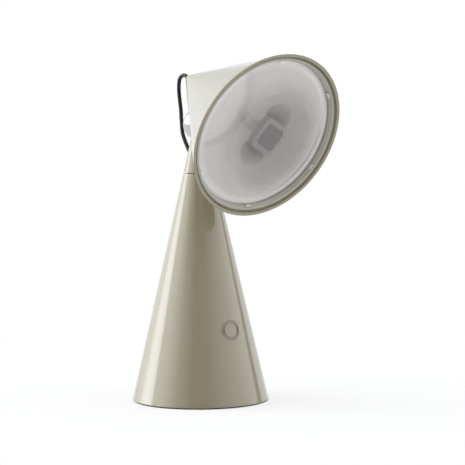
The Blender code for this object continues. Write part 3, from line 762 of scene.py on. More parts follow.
@dataclass(frozen=True)
class BaseCone:
    """The cone that the base and the neck share.

    Attributes:
        foot_radius: Its radius at its lower edge.
        edge_height: Height of that edge.
        apex_height: Height at which its flanks would meet.
        wall: Thickness of its wall.
        seam: Height of the seam between the base and the neck.
        seam_gap: Width of the seam.
    """

    foot_radius: float = 55.0
    edge_height: float = 1.0
    apex_height: float = 238.5
    wall: float = 1.6
    seam: float = 184.0
    seam_gap: float = 0.6

    @property
    def slope(self) -> float:
        """Loss of radius per unit of height."""
        return self.foot_radius / (self.apex_height - self.edge_height)

    @property
    def half_angle(self) -> float:
        """Angle between the flank and the axis, in radians."""
        return math.atan(self.slope)

    def radius(self, height: float) -> float:
        """Outer radius at a height."""
        return self.slope * (self.apex_height - height)

    def flank_frame(self, height: float) -> Matrix:
        """Frame on the front of the cone at a height, with Z out of the surface."""
        spot = Matrix.Translation((0.0, -self.radius(height), height))
        return spot @ Matrix.Rotation(math.pi / 2 - self.half_angle, 4, "X")

    def settle(self, shape: bmesh.types.BMesh, spot: Matrix, above: float, recess: float) -> None:
        """Move the outer points of a piece on the flank along its axis onto the cone's surface.

        Args:
            shape: The piece's mesh in the flank's frame, changed in place.
            spot: That frame.
            above: Local height from which on a point belongs to the outer face.
            recess: How far under the cone's surface the face lies.
        """
        for vert in shape.verts:
            if vert.co.z <= above:
                continue
            rise = vert.co.z
            vert.co.z = 0.0
            for _ in range(6):
                point = spot @ vert.co
                outside = math.hypot(point.x, point.y) - self.radius(point.z)
                vert.co.z -= outside * math.cos(self.half_angle)
            vert.co.z += min(rise, 0.0) - recess


@dataclass
class Base(Assembly):
    """Base cone, foot, button ring and charging inlet.

    Attributes:
        cone: The cone that it shares with the neck.
        deck: Thickness of the deck under the neck.
        foot_pad_radius: Radius of the rubber foot.
        foot_pad_height: Thickness of the rubber foot.
        inlet_height: Height of the charging inlet.
        inlet_width: Width of the inlet's frame.
        inlet_opening: Height of the inlet's frame.
    """

    cone: BaseCone = field(default_factory=BaseCone)
    deck: float = 4.2
    foot_pad_radius: float = 51.0
    foot_pad_height: float = 1.9
    inlet_height: float = 23.6
    inlet_width: float = 12.4
    inlet_opening: float = 6.6
    gap: float = 0.3

    def make(self, button_spot: Matrix, bezel_radius: float) -> None:
        """Build and dress every piece of the base.

        Args:
            button_spot: The button's frame on the flank.
            bezel_radius: Radius of the ring round the button.
        """
        self.make_shell(button_spot, bezel_radius)
        self.make_foot()
        self.make_inlet()

    def inlet_frame(self) -> Matrix:
        """Frame of the inlet, with Z out of the back."""
        return Matrix.Translation((0.0, 0.0, self.inlet_height)) @ Matrix.Rotation(-math.pi / 2, 4, "X")

    def make_shell(self, button_spot: Matrix, bezel_radius: float) -> None:
        """Build the spun cone with its deck, and pierce it for the button and the inlet.

        Args:
            button_spot: The button's frame on the flank.
            bezel_radius: Radius of the ring round the button.
        """
        cone = self.cone
        across = cone.wall / math.cos(cone.half_angle)
        high = cone.seam - cone.seam_gap / 2
        low = high - self.deck
        shape = spun(supported([
            (cone.foot_radius, cone.edge_height),
            (cone.radius(high), high),
            (9.3, high),
            (9.3, high - 1.2),
            (6.0, high - 1.2),
            (6.0, low),
            (cone.radius(low) - across, low),
            (cone.foot_radius - across, cone.edge_height),
        ]), 192)
        soften(shape, 0.28)
        shell = self.add(shape, "base_cone", LACQUER, "lacquer", ["base_shell"])
        reach = bezel_radius + 0.1
        hole = spun([(0.0, -9.0), (reach, -9.0), (reach, 6.0), (0.0, 6.0)], 96)
        carve(shell, self.cutter(hole, button_spot), Cut.AWAY)
        outline = rounded_rectangle(self.inlet_width + 2 * self.gap, self.inlet_opening + 2 * self.gap, 2.5)
        carve(shell, self.cutter(extruded(outline, 40.0, 60.0), self.inlet_frame()), Cut.AWAY)

    def make_foot(self) -> None:
        """Build the rubber foot, with the worn round edge that it stands on."""
        high, radius = self.foot_pad_height, self.foot_pad_radius
        shape = spun(supported([(0.0, 0.0), (radius - 0.6, 0.0), (radius, 0.6), (radius, high), (0.0, high)], 12.0), 144)
        self.add(shape, "rubber_foot", RUBBER, "rubber", ["foot_pad"])

    def make_inlet(self) -> None:
        """Build the inlet's frame and the charging socket with its tongue and contacts."""
        spot = self.inlet_frame()
        frame_shape = extruded(rounded_rectangle(self.inlet_width, self.inlet_opening, 2.3), 46.6, 54.0)
        inlet = self.add(frame_shape, "inlet_surround", BLACK_PLASTIC, "black_plastic", ["inlet_frame"], spot)
        opening = extruded(rounded_rectangle(9.7, 4.0, 1.9, 12), 44.0, 56.0)
        carve(inlet, self.cutter(opening, spot), Cut.AWAY)
        cone = self.cone
        skin = spun([
            (0.0, cone.edge_height),
            (cone.foot_radius, cone.edge_height),
            (cone.radius(60.0), 60.0),
            (0.0, 60.0),
        ], 192)
        carve(inlet, self.cutter(skin), Cut.KEEP)

        socket = extruded(rounded_rectangle(9.0, 3.3, 1.6, 10), 41.4, 48.9)
        shell = self.add(socket, "socket_shell", STEEL, "steel", ["charge_socket"], spot)
        carve(shell, self.cutter(extruded(rounded_rectangle(8.3, 2.6, 1.25, 10), 42.4, 50.0), spot), Cut.AWAY)
        tongue = extruded(rounded_rectangle(6.6, 0.7, 0.25, 3), 42.2, 48.2)
        self.add(tongue, "socket_tongue", BLACK_PLASTIC, "black_plastic", placement=spot)
        contacts = bmesh.new()
        for side in (-1.0, 1.0):
            for number in range(8):
                pad = bmesh.ops.create_cube(contacts, size=1.0)["verts"]
                bmesh.ops.scale(contacts, vec=(0.3, 0.06, 4.2), verts=pad)
                bmesh.ops.translate(contacts, vec=((number - 3.5) * 0.72, side * 0.37, 45.6), verts=pad)
        self.add(contacts, "socket_contacts", GOLD, "steel", placement=spot)


@dataclass
class Button(Assembly):
    """Push button in the front of the cone.

    Attributes:
        cone: The cone that it is flush with.
        height: Height of its centre.
        cap_radius: Radius of the cap.
        bezel_radius: Radius of the ring round it.
        bezel_recess: How far the ring lies under the cone's surface.
    """

    cone: BaseCone = field(default_factory=BaseCone)
    height: float = 60.4
    cap_radius: float = 6.0
    bezel_radius: float = 8.0
    bezel_recess: float = 0.14

    def spot(self) -> Matrix:
        """Frame of the button on the flank."""
        return self.cone.flank_frame(self.height)

    def make(self) -> None:
        """Build the cap; its recessed ring is built by ButtonRing."""
        spot = self.spot()
        cap = spun(supported([
            (0.0, 0.0),
            (self.cap_radius, 0.0),
            (self.cap_radius, -3.7),
            (7.3, -3.7),
            (7.3, -4.9),
            (1.6, -4.9),
            (1.6, -6.6),
            (0.0, -6.6),
        ], 1.0, 0.3), 96)
        soften(cap, 0.18)
        self.cone.settle(cap, spot, -0.25, 0.0)
        self.add(cap, "push_button", LACQUER, "lacquer", ["button_cap"], spot)


@dataclass
class ButtonRing(Assembly):
    """The switch's housing, whose front is the recessed ring round the button."""

    button: Button = field(default_factory=lambda: Button(Body.BUTTON))

    def make(self) -> None:
        """Build the housing, with its front edge on the cone's curve."""
        button = self.button
        spot = button.spot()
        inner = button.cap_radius + 0.16
        shape = spun(supported([
            (inner, 0.0),
            (button.bezel_radius, 0.0),
            (button.bezel_radius, -3.3),
            (10.6, -3.3),
            (10.6, -13.0),
            (9.2, -13.0),
            (9.2, -6.2),
            (7.7, -6.2),
            (7.7, -3.4),
            (inner, -3.4),
        ], 1.0, 0.3), 96)
        soften(shape, 0.15)
        button.cone.settle(shape, spot, -0.22, button.bezel_recess)
        # The ring's lacquer is darker here as painted shade of the recess round the button
        self.add(shape, "button_ring", LACQUER_WITH_PAINTED_RECESS_SHADE, "lacquer", ["button_housing"], spot)


@dataclass
class Neck(Assembly):
    """Neck above the seam, with the ball on its stud and the cable's grommet.

    Attributes:
        cone: The cone that it carries on.
        ball_radius: Radius of the ball.
        ball_height: Height of the ball's centre.
        stud_radius: Radius of the ball's stud.
        cable_radius: Radius of the cable.
        entry: Point (y, z) where the cable goes in at the back.
        entry_tilt: Angle of the entry from upright, in degrees.
    """

    cone: BaseCone = field(default_factory=BaseCone)
    ball_radius: float = 12.5
    ball_height: float = 222.8
    stud_radius: float = 2.5
    cable_radius: float = 1.6
    entry: Point = (8.7, 196.2)
    entry_tilt: float = 50.0
    gap: float = 0.3

    def make(self) -> None:
        """Build the neck's shell, the grommet and the ball."""
        self.make_shell()
        self.make_ball()

    def entry_frame(self) -> Matrix:
        """Frame of the cable's entry, with Z out of the neck."""
        spot = Matrix.Translation((0.0, *self.entry))
        return spot @ Matrix.Rotation(-math.radians(self.entry_tilt), 4, "X")

    def tip(self) -> Point:
        """Return the radius and height where the cone meets the dish under the ball."""
        dish = self.ball_radius + self.gap
        rise = self.cone.apex_height - self.ball_height
        steep = 1.0 / self.cone.slope
        square = 1.0 + steep * steep
        root = math.sqrt((rise * steep) ** 2 - square * (rise * rise - dish * dish))
        radius = (rise * steep + root) / square
        return radius, self.cone.apex_height - steep * radius

    def make_shell(self) -> None:
        """Build the cone's tip with its dish, and pierce it for the cable."""
        cone = self.cone
        low = cone.seam + cone.seam_gap / 2
        cavity_high = 200.5
        tip_radius, _ = self.tip()
        dish = self.ball_radius + self.gap
        hole = self.stud_radius + self.gap
        start = -math.degrees(math.acos(tip_radius / dish))
        end = -math.degrees(math.acos(hole / dish))
        outline = [(cone.radius(low), low)] + arc(self.ball_height, dish, start, end, 16)
        outline += [
            (hole, cavity_high),
            (cone.radius(cavity_high) - 1.6, cavity_high),
            (cone.radius(188.2) - 1.6, 188.2),
            (10.1, 188.2),
            (10.1, low),
        ]
        shape = spun(supported(outline, 2.5, 0.55), 160)
        soften(shape, 0.22)
        shell = self.add(shape, "neck_cone", LACQUER, "lacquer", ["neck_shell"])
        spot = self.entry_frame()
        hole_shape = spun([(0.0, -6.0), (2.9, -6.0), (2.9, 6.0), (0.0, 6.0)], 48)
        carve(shell, self.cutter(hole_shape, spot), Cut.AWAY)
        inner = self.cable_radius + 0.15
        grommet = spun(supported([(inner, -2.0), (2.6, -2.0), (2.6, 2.3), (inner, 2.3)], 1.0, 0.3), 48)
        soften(grommet, 0.25)
        self.add(grommet, "cable_grommet", RUBBER, "rubber", ["neck_grommet"], spot)

    def make_ball(self) -> None:
        """Build the chromed ball, bored from below for its stud."""
        hole = self.stud_radius + self.gap
        start = -math.degrees(math.acos(hole / self.ball_radius))
        bore_end = self.ball_height + 0.8
        outline = arc(self.ball_height, self.ball_radius, start, 90.0, 64) + [(0.0, bore_end), (hole, bore_end)]
        self.add(spun(outline, 128), "chromed_ball", CHROME, "chrome", ["ball"])


@dataclass
class Head(Assembly):
    """Cone head, its lip and apex, and everything seen through its lens.

    Stations are measured from the cone's virtual apex along its axis, and local Y is its upper side.

    Attributes:
        radius: Radius of the mouth.
        length: Station of the mouth.
        tilt: Angle by which the head looks down, in degrees.
        axis_offset: Distance of the head's axis from the ball's centre.
        apex_back: How far behind the ball the apex lies, along the axis.
        ball: The ball's radius, with its clearance.
        ball_height: Height of the ball's centre.
        wall: Thickness of the cone's wall.
        lip_width: Width of the lip's front face.
        flat_radius: Radius of the flat on the cone's apex.
        bore_radius: Radius of the cable's hole there.
        cable_radius: Radius of the cable.
        gap: Fit between two pieces.
        lens_opening: Inner radius of the ring round the lens.
        lens_edge: Radius of the lens.
        lens_back: Station of the lens's back edge.
        lens_pole: Station of the dome's highest point.
        lens_thickness: Thickness of the dome.
        ring_outer: Outer radius of the ring's front face.
        ring_front: Station of the ring's front face.
        ring_back: Station of its back.
        tabs: How many tabs hold the lens.
        tab_turn: Angle of the first tab, in degrees.
        bowl_hole: Radius of the hole in the reflector's bottom.
        bowl_mouth: Radius of its mouth.
        bowl_back: Station of its bottom.
        bowl_front: Station of its front edge.
        post_radius: Radius of the post that carries the light source.
        post_front: Station of the post's end.
        shade_turn: Turn of the square shade about the axis, in degrees.
        shade_width: Width of the shade.
        shade_back: Station of its back.
        shade_front: Station of its front.
        board_width: Width of the board under it.
        panel_width: Width of the dark panel in its front.
    """

    radius: float = 69.0
    length: float = 117.3
    tilt: float = 21.6
    axis_offset: float = 28.8
    apex_back: float = 31.0
    ball: float = 12.85
    ball_height: float = 222.8
    wall: float = 1.5
    lip_width: float = 2.6
    flat_radius: float = 3.2
    bore_radius: float = 2.7
    cable_radius: float = 1.6
    gap: float = 0.3
    lens_opening: float = 61.5
    lens_edge: float = 62.4
    lens_back: float = 110.0
    lens_pole: float = 123.6
    lens_thickness: float = 2.4
    ring_outer: float = 64.7
    ring_front: float = 115.8
    ring_back: float = 111.9
    tabs: int = 6
    tab_turn: float = 30.0
    bowl_hole: float = 5.3
    bowl_mouth: float = 60.4
    bowl_back: float = 80.0
    bowl_front: float = 109.7
    post_radius: float = 4.5
    post_front: float = 113.4
    shade_turn: float = -30.0
    shade_width: float = 26.4
    shade_back: float = 113.7
    shade_front: float = 119.7
    board_width: float = 21.8
    panel_width: float = 18.4

    def __post_init__(self) -> None:
        """Work out the head's frame from its tilt and its place on the ball."""
        ball_centre = Matrix.Translation((0.0, 0.0, self.ball_height))
        lean = Matrix.Rotation(math.radians(90.0 + self.tilt), 4, "X")
        step = Matrix.Translation((0.0, self.axis_offset, -self.apex_back))
        self.placement = ball_centre @ lean @ step

    @property
    def slope(self) -> float:
        """Gain of radius per unit of station."""
        return self.radius / self.length

    @property
    def across(self) -> float:
        """Wall thickness measured square to the axis."""
        return self.wall / math.cos(math.atan(self.slope))

    def make(self) -> None:
        """Build and dress every piece of the head."""
        self.make_shell()
        self.make_reflector()
        self.make_light_source()
        self.make_bezel()
        self.make_lens()
        self.make_gland()

    def make_shell(self) -> None:
        """Build the spun cone with its rolled lip, bored apex and hole round the ball."""
        lip = self.radius - self.lip_width
        shape = spun(supported([
            (self.bore_radius, self.flat_radius / self.slope),
            (self.flat_radius, self.flat_radius / self.slope),
            (self.radius, self.length),
            (lip, self.length),
            (lip, (lip + self.across) / self.slope),
            (self.bore_radius, (self.bore_radius + self.across) / self.slope),
        ], 3.0), 224)
        soften(shape, 0.45, 4)
        shell = self.add(shape, "head_cone", LACQUER, "lacquer", ["head_shell"])
        socket = bmesh.new()
        bmesh.ops.create_uvsphere(socket, u_segments=96, v_segments=64, radius=self.ball)
        bmesh.ops.translate(socket, verts=socket.verts, vec=(0.0, -self.axis_offset, self.apex_back))
        carve(shell, self.cutter(socket), Cut.AWAY)

    def make_reflector(self) -> None:
        """Build the bowl, a parabola from its hole to its mouth, with its rim and its collar."""
        hole, mouth, back = self.bowl_hole, self.bowl_mouth, self.bowl_back
        flange_back = self.bowl_front - 1.4
        stretch = (mouth * mouth - hole * hole) / (flange_back - back)
        count = 48
        radii = [hole + (mouth - hole) * index / (count - 1) for index in range(count)]
        inside = [(r, back + (r * r - hole * hole) / stretch) for r in radii]
        outside = [(r, z - 1.5) for r, z in inside[2:-2]]
        outline = inside + [
            (mouth, self.bowl_front),
            (mouth + 1.1, self.bowl_front),
            (mouth + 1.1, flange_back),
        ]
        outline += outside[::-1]
        outline += [(hole + 2.0, back - 1.7), (hole, back - 1.7)]
        self.add(spun(outline, 192), "reflector_bowl", MIRROR_COAT, "mirror_coat", ["reflector"])

    def square(self, width: float, corner: float, low: float, high: float) -> bmesh.types.BMesh:
        """Block with a round-cornered square outline."""
        return extruded(rounded_rectangle(width, width, corner, 10), low, high)

    def make_light_source(self) -> None:
        """Build the post, the board with its LEDs that face the bowl, and the square shade before them."""
        post = spun(supported([
            (1.8, self.bowl_back - 1.7),
            (self.post_radius, self.bowl_back - 1.7),
            (self.post_radius, self.post_front),
            (1.8, self.post_front),
        ]), 64)
        soften(post, 0.3)
        self.add(post, "led_column", ALUMINIUM, "aluminium", ["led_post"])
        turned = self.placement @ Matrix.Rotation(math.radians(self.shade_turn), 4, "Z")
        board = self.square(self.board_width, 3.0, self.shade_back, self.shade_back + 1.6)
        soften(board, 0.2, 2, 50.0)
        self.add(board, "led_carrier", WHITE_PLASTIC, "white_plastic", ["led_board"], turned)
        packages, lids = bmesh.new(), bmesh.new()
        for x, y in ((4.2, 8.4), (-4.2, 8.4), (-4.2, -8.4), (4.2, -8.4)):
            for shape, width, low, high in ((packages, 3.4, 112.7, 113.4), (lids, 2.6, 112.4, 112.7)):
                block = bmesh.ops.create_cube(shape, size=1.0)["verts"]
                bmesh.ops.scale(shape, vec=(width, width, high - low), verts=block)
                bmesh.ops.translate(shape, vec=(x, y, (low + high) / 2), verts=block)
        soften(lids, 0.12, 2)
        soften(packages, 0.12, 2)
        # A thin leaf that carries painted shade beside the square shade, graded paler towards its ends; it replaces
        # no node
        painted_dark_outline = []
        for step in range(96):
            across, along = math.cos(math.tau * step / 96), math.sin(math.tau * step / 96)
            waist = min(1.0, 0.55 + 1.2 * along**2)
            painted_dark_outline.append((17.0 * across * waist, 28.5 * along))
        painted_dark_mesh = extruded(painted_dark_outline, 113.42, 113.66)
        self.add(painted_dark_mesh, "painted_shade_leaf", PAINTED_SHADE_LEAF, "black_plastic", (), turned)
        chips = [f"led_chip_{number}" for number in range(1, 5)]
        self.add(packages, "led_packages", WHITE_PLASTIC, "led_phosphor", chips, turned)
        self.add(lids, "led_windows", PHOSPHOR, "led_phosphor", (), turned)
        shade_block = self.square(self.shade_width, 5.5, self.shade_back, self.shade_front)
        soften(shade_block, 0.45, 4, 50.0)
        made = self.add(shade_block, "square_shade", SHADE_METAL, "aluminium", ["glare_shade"], turned)
        carve(made, self.cutter(self.square(22.4, 3.3, self.shade_back - 1.0, 115.6), turned), Cut.AWAY)
        carve(made, self.cutter(self.square(19.0, 3.2, 117.0, self.shade_front + 1.0), turned), Cut.AWAY)
        panel = self.square(self.panel_width, 2.9, 117.0 + self.gap, 118.1)
        soften(panel, 0.2, 2, 50.0)
        self.add(panel, "shade_inlay", SMOKED_PLASTIC, "black_plastic", ["shade_panel"], turned)

    def make_bezel(self) -> None:
        """Build the grey ring round the lens, with a notch for each tab."""
        inside = self.across + self.gap / math.cos(math.atan(self.slope))
        outline = [
            (self.lens_opening, self.ring_back),
            (self.slope * self.ring_back - inside, self.ring_back),
            (self.slope * (self.ring_front - 1.7) - inside, self.ring_front - 1.7),
            (self.ring_outer, self.ring_front),
            (self.lens_opening + 1.5, self.ring_front),
            (self.lens_opening, self.ring_back + 0.8),
        ]
        shape = spun(supported(outline, 1.5, 0.3), 224)
        soften(shape, 0.25, 3)
        ring = self.add(shape, "lens_bezel", BEZEL_PLASTIC, "grey_plastic", ["lens_ring"])
        notches = blocks(self.tabs, self.tab_turn, 5.6, 58.0, 62.9, 109.0, 117.0)
        carve(ring, self.cutter(notches), Cut.AWAY)
        middle, low = self.ring_outer + 0.72, self.ring_front - 1.55
        bead = [(middle + 0.55 * math.cos(math.tau * index / 16), low + 0.55 + 0.55 * math.sin(math.tau * index / 16))
                for index in range(16)]
        self.add(spun(bead, 224), "ring_seal", GREY_SEAL, "rubber")
        gasket = spun([(62.75, 109.9), (63.5, 109.9), (63.5, 111.6), (62.75, 111.6)], 224)
        self.add(gasket, "lens_gasket", WHITE_PLASTIC, "white_plastic")

    def make_lens(self) -> None:
        """Build the domed lens with its edge tabs."""
        edge_front = self.ring_back - self.gap
        back_edge = self.lens_edge - 2.9
        front = dome(self.lens_pole, self.lens_opening - 0.3, edge_front, 48)
        back = dome(self.lens_pole - self.lens_thickness, back_edge, self.lens_back + 0.1, 48)
        outline = [(self.lens_edge, self.lens_back), (self.lens_edge, edge_front)] + front + back[::-1]
        outline += [(back_edge, self.lens_back)]
        # The lens's colour carries painted shade, darker towards its centre
        lens = self.add(spun(outline, 192), "domed_lens", ACRYLIC_WITH_PAINTED_SHADE, "clear_acrylic", ["cover_lens"])
        tabs = blocks(self.tabs, self.tab_turn, 5.0, 61.0, 62.6, self.lens_back + 0.4, 115.2)
        carve(lens, self.cutter(tabs), Cut.JOIN)

    def make_gland(self) -> None:
        """Build the bush that holds the cable in the apex."""
        front = self.flat_radius / self.slope
        inner = self.cable_radius + 0.15
        outer = self.bore_radius - self.gap
        shape = spun(supported([
            (inner, front - 0.3),
            (outer, front - 0.3),
            (outer, 12.0),
            (3.9, 12.0),
            (3.9, 13.4),
            (inner, 13.4),
        ], 1.5, 0.3), 48)
        soften(shape, 0.15)
        self.add(shape, "apex_bush", RUBBER, "rubber", ["apex_gland"])

    def axis_point(self, station: float) -> tuple[float, float, float]:
        """Point on the head's axis at a station, in the row's frame."""
        return tuple(self.placement @ Vector((0.0, 0.0, station)))


@dataclass
class Cable:
    """Cable from the head's apex down behind the ball into the neck.

    Attributes:
        radius: Radius of its jacket.
        stations: Where it runs along the head's axis, from the inside out.
        loop: Its open loop and its way down the spindle, as (y, z) points.
        blend_start: Point on the neck's side of the cable; not used.
        blend_end: Point on the head's side of the cable; not used.
    """

    radius: float = 1.6
    stations: tuple[float, ...] = (61.7, 45.0, 28.0, 15.0, 7.0)
    loop: tuple[Point, ...] = (
        (17.2, 260.9), (21.6, 261.0), (25.2, 258.4), (26.6, 254.0), (26.7, 248.0), (25.6, 240.6),
        (24.2, 233.0), (23.7, 226.6), (23.1, 220.6), (22.2, 215.0), (20.1, 210.4), (17.0, 205.6),
        (13.9, 201.3), (11.6, 198.6), (9.0, 196.4), (6.6, 194.4), (3.6, 192.3), (1.2, 189.8),
        (0.2, 186.6), (0.0, 183.0), (0.0, 177.0), (0.0, 168.15),
    )
    blend_start: tuple[float, float, float] = (0.0, 15.3, 196.2)
    blend_end: tuple[float, float, float] = (0.0, 10.6, 245.7)

    def route(self, head: Head) -> list[Vector]:
        """Return the points that the cable's smooth curve passes through, in millimetres."""
        inside = [Vector(head.axis_point(station)) for station in self.stations]
        return inside + [Vector((0.0, y, z)) for y, z in self.loop]

    def make(self, head: Head) -> None:
        """Build the cable as one smooth tube that bends from the neck to the head.

        Args:
            head: The head that it comes out of.
        """
        route = self.route(head)
        ends = [route[0] * 2 - route[1]] + route + [route[-1] * 2 - route[-2]]
        points: list[Vector] = []
        for before, start, stop, after in zip(ends, ends[1:], ends[2:], ends[3:]):
            count = max(2, round((stop - start).length / 0.8))
            for index in range(count):
                t = index / count
                points.append(
                    0.5 * (2 * start + (stop - before) * t
                           + (2 * before - 5 * start + 4 * stop - after) * t * t
                           + (3 * start - before - 3 * stop + after) * t * t * t)
                )
        points.append(route[-1])
        curve = bpy.data.curves.new("cable_run", "CURVE")
        curve.dimensions = "3D"
        curve.bevel_depth = self.radius * MM
        curve.bevel_resolution = 6
        curve.use_fill_caps = True
        spline = curve.splines.new("POLY")
        spline.points.add(len(points) - 1)
        for target, point in zip(spline.points, points):
            target.co = (*(point * MM), 1.0)
        tube = bpy.data.objects.new("cable_run", curve)
        bpy.context.scene.collection.objects.link(tube)
        graph = bpy.context.evaluated_depsgraph_get()
        mesh = bpy.data.meshes.new_from_object(tube.evaluated_get(graph))
        bpy.data.objects.remove(tube, do_unlink=True)
        bpy.data.curves.remove(curve)
        mesh.materials.clear()
        mesh.materials.append(JACKET.build())
        mesh.shade_smooth()
        mesh.set_sharp_from_angle(angle=math.radians(50))
        piece = bpy.data.objects.new("looped_cable", mesh)
        bpy.context.scene.collection.objects.link(piece)
        start, end = (tuple(value * MM for value in point) for point in (self.blend_start, self.blend_end))
        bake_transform(piece)
        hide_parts("cable")
        LOG.info("%s bends from %s to %s", piece.name, Body.NECK.value, Body.HEAD.value)


def dress_nodes() -> None:
    """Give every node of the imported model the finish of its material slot."""
    for part in frame["record"]["subparts"]:
        node = frame["nodes"][part["node"]]
        for holder in node.material_slots:
            holder.link = "OBJECT"
            holder.material = SLOT_FINISHES[part["material_slot"]].build()


# ---- the studio --------------------------------------------------------------------------------


@dataclass
class Studio:
    """Camera, room and floor.

    Directions are given as the camera sees them: azimuth 0 points at the camera, 90 to its right and 180
    away from it.

    Attributes:
        heading: Angle between the camera's view and the lamp's +Y, in degrees.
        pitch: How far the camera looks down, in degrees.
        roll: The camera's roll, in degrees.
        across: The camera's place to the right of the lamp's axis, in metres.
        away: Its distance in front of that axis, in metres.
        height: Its height, in metres.
        lens: Focal length for a sensor 36 mm wide.
        sensor: That width.
        room: How bright the room is near the horizon, as (azimuth, radiance), where 1 is white. A tall
            softbox fills the left, with a hot strip along its far side. The room in front is dim, the right
            is a pale wall up to the gap before the backdrop, and the backdrop is behind.
        walls_to: Elevation up to which that holds, in degrees.
        ceiling_from: Elevation from which the ceiling is even.
        ceiling: Its radiance.
        tint: Colour of the room's light.
        shadow_fill: Share of a shadow on the floor that is lit from elsewhere.
        contact: Distances from the lamp's axis, in metres, between which that share comes in, so that the
            crack under the base stays dark.
        card_edge: The edge in metres, on the floor in front, of the lit card that the lens mirrors.
        card_rest: The rest of that card's outline.
        card_radiance: How bright the card is, where 1 is white.
        strip_edge: Far edge of the black strip along the card's edge.
    """

    heading: float = 36.72
    pitch: float = 5.579
    roll: float = -0.357
    across: float = 0.02655
    away: float = 2.4012
    height: float = 0.3699
    lens: float = 232.26
    sensor: float = 36.0
    room: tuple[Point, ...] = (
        (-180.0, 1.10), (-172.0, 0.88), (-166.0, 0.93), (-158.0, 1.18), (-150.0, 1.22), (-132.0, 1.75), (-126.0, 2.10), (-120.0, 3.20), (-114.0, 4.30),
        (-104.0, 5.35), (-94.0, 5.35), (-92.2, 4.90), (-90.6, 2.70), (-70.0, 2.70), (-60.0, 2.10),
        (-50.0, 1.60), (-40.0, 0.95), (-30.0, 0.72), (-18.0, 0.20), (0.0, 0.24), (20.0, 0.40),
        (30.0, 0.78), (40.0, 0.90), (60.0, 1.38), (90.0, 1.88), (112.0, 1.90), (117.0, 0.40),
        (124.0, 0.45), (130.0, 1.50), (145.0, 1.05), (180.0, 1.10),
    )
    walls_to: float = 32.0
    ceiling_from: float = 50.0
    ceiling: float = 0.67
    tint: Colour = (0.965, 1.0, 1.005, 1.0)
    shadow_fill: float = 0.68
    contact: Point = (0.0540, 0.0556)
    card_edge: tuple[Point, ...] = (
        (-0.060, -0.300), (-0.034, -0.320), (0.018, -0.398), (0.052, -0.460), (0.080, -0.540), (0.114, -0.643),
        (0.179, -0.836), (0.268, -1.172), (0.712, -2.790),
    )
    card_rest: tuple[Point, ...] = ((-0.900, -2.790), (-0.900, -0.300))
    card_radiance: float = 1.58
    strip_edge: tuple[Point, ...] = (
        (0.950, -2.790), (0.345, -1.140), (0.243, -0.820), (0.175, -0.640), (0.138, -0.535), (0.102, -0.450),
        (0.055, -0.372), (0.000, -0.300), (-0.060, -0.270),
    )

    def direction(self, azimuth: float, elevation: float) -> Vector:
        """Unit vector from the lamp, in the row's frame, of a direction as the camera sees it."""
        turn = math.radians(azimuth - self.heading)
        lift = math.radians(elevation)
        return Vector((math.sin(turn) * math.cos(lift), -math.cos(turn) * math.cos(lift), math.sin(lift)))

    def make(self) -> None:
        """Build the studio."""
        self.make_camera()
        self.make_world()
        self.make_floor()
        self.make_card("reflector_card", self.card_edge + self.card_rest, self.card_radiance)
        self.make_card("black_strip", self.card_edge + self.strip_edge, 0.0)

    def make_camera(self) -> None:
        """Stand the camera where the photograph was taken from."""
        right = self.direction(90.0, 0.0)
        forward = self.direction(180.0, -self.pitch)
        upward = right.cross(forward)
        roll = math.radians(self.roll)
        side = right * math.cos(roll) + upward * math.sin(roll)
        top = upward * math.cos(roll) - right * math.sin(roll)
        data = bpy.data.cameras.new("studio_camera")
        data.lens = self.lens
        data.sensor_width = self.sensor
        data.clip_end = 60.0
        camera = bpy.data.objects.new("studio_camera", data)
        bpy.context.scene.collection.objects.link(camera)
        spot = right * self.across + self.direction(0.0, 0.0) * self.away + Vector((0.0, 0.0, self.height))
        turn = Matrix((side, top, -forward)).transposed().to_4x4()
        camera.matrix_world = Matrix.Translation(spot) @ turn
        bpy.context.scene.camera = camera

    def make_world(self) -> None:
        """Light the lamp from all round: brightness by azimuth near the horizon, and an even ceiling."""
        world = bpy.data.worlds.new("studio_room")
        bpy.context.scene.world = world
        world.use_nodes = True
        tree = world.node_tree
        tree.nodes.clear()
        where = add_node(tree, "ShaderNodeTexCoord").outputs["Generated"]
        parts = [
            add_node(tree, "ShaderNodeVectorMath", {0: where, 1: self.direction(azimuth, 0.0)},
                     operation="DOT_PRODUCT").outputs["Value"]
            for azimuth in (90.0, 0.0)
        ]
        azimuth = add_node(tree, "ShaderNodeMath", {0: parts[0], 1: parts[1]}, operation="ARCTAN2")
        turn = add_node(
            tree,
            "ShaderNodeMapRange",
            {"Value": azimuth.outputs["Value"], "From Min": -math.pi, "From Max": math.pi},
        )
        brightest = max(value for _, value in self.room)
        ramp = add_node(tree, "ShaderNodeValToRGB", {"Fac": turn.outputs["Result"]})
        stops = ramp.color_ramp.elements
        for index, (angle, value) in enumerate(self.room):
            place = (angle + 180.0) / 360.0
            stop = stops[index] if index < 2 else stops.new(place)
            stop.position = place
            stop.color = (value / brightest,) * 3 + (1.0,)
        walls = add_node(
            tree, "ShaderNodeVectorMath", {0: ramp.outputs["Color"], "Scale": brightest}, operation="SCALE"
        )
        height = add_node(tree, "ShaderNodeSeparateXYZ", {"Vector": where})
        lift = add_node(
            tree,
            "ShaderNodeMapRange",
            {
                "Value": height.outputs["Z"],
                "From Min": math.sin(math.radians(self.walls_to)),
                "From Max": math.sin(math.radians(self.ceiling_from)),
            },
            interpolation_type="SMOOTHSTEP",
        )
        room = add_node(
            tree,
            "ShaderNodeMix",
            {"Factor": lift.outputs["Result"], 6: walls.outputs["Vector"], 7: (self.ceiling,) * 3 + (1.0,)},
            data_type="RGBA",
        )
        room = add_node(
            tree,
            "ShaderNodeMix",
            {"Factor": 1.0, 6: room.outputs[2], 7: self.tint},
            data_type="RGBA",
            blend_type="MULTIPLY",
        )
        seen = add_node(tree, "ShaderNodeLightPath")
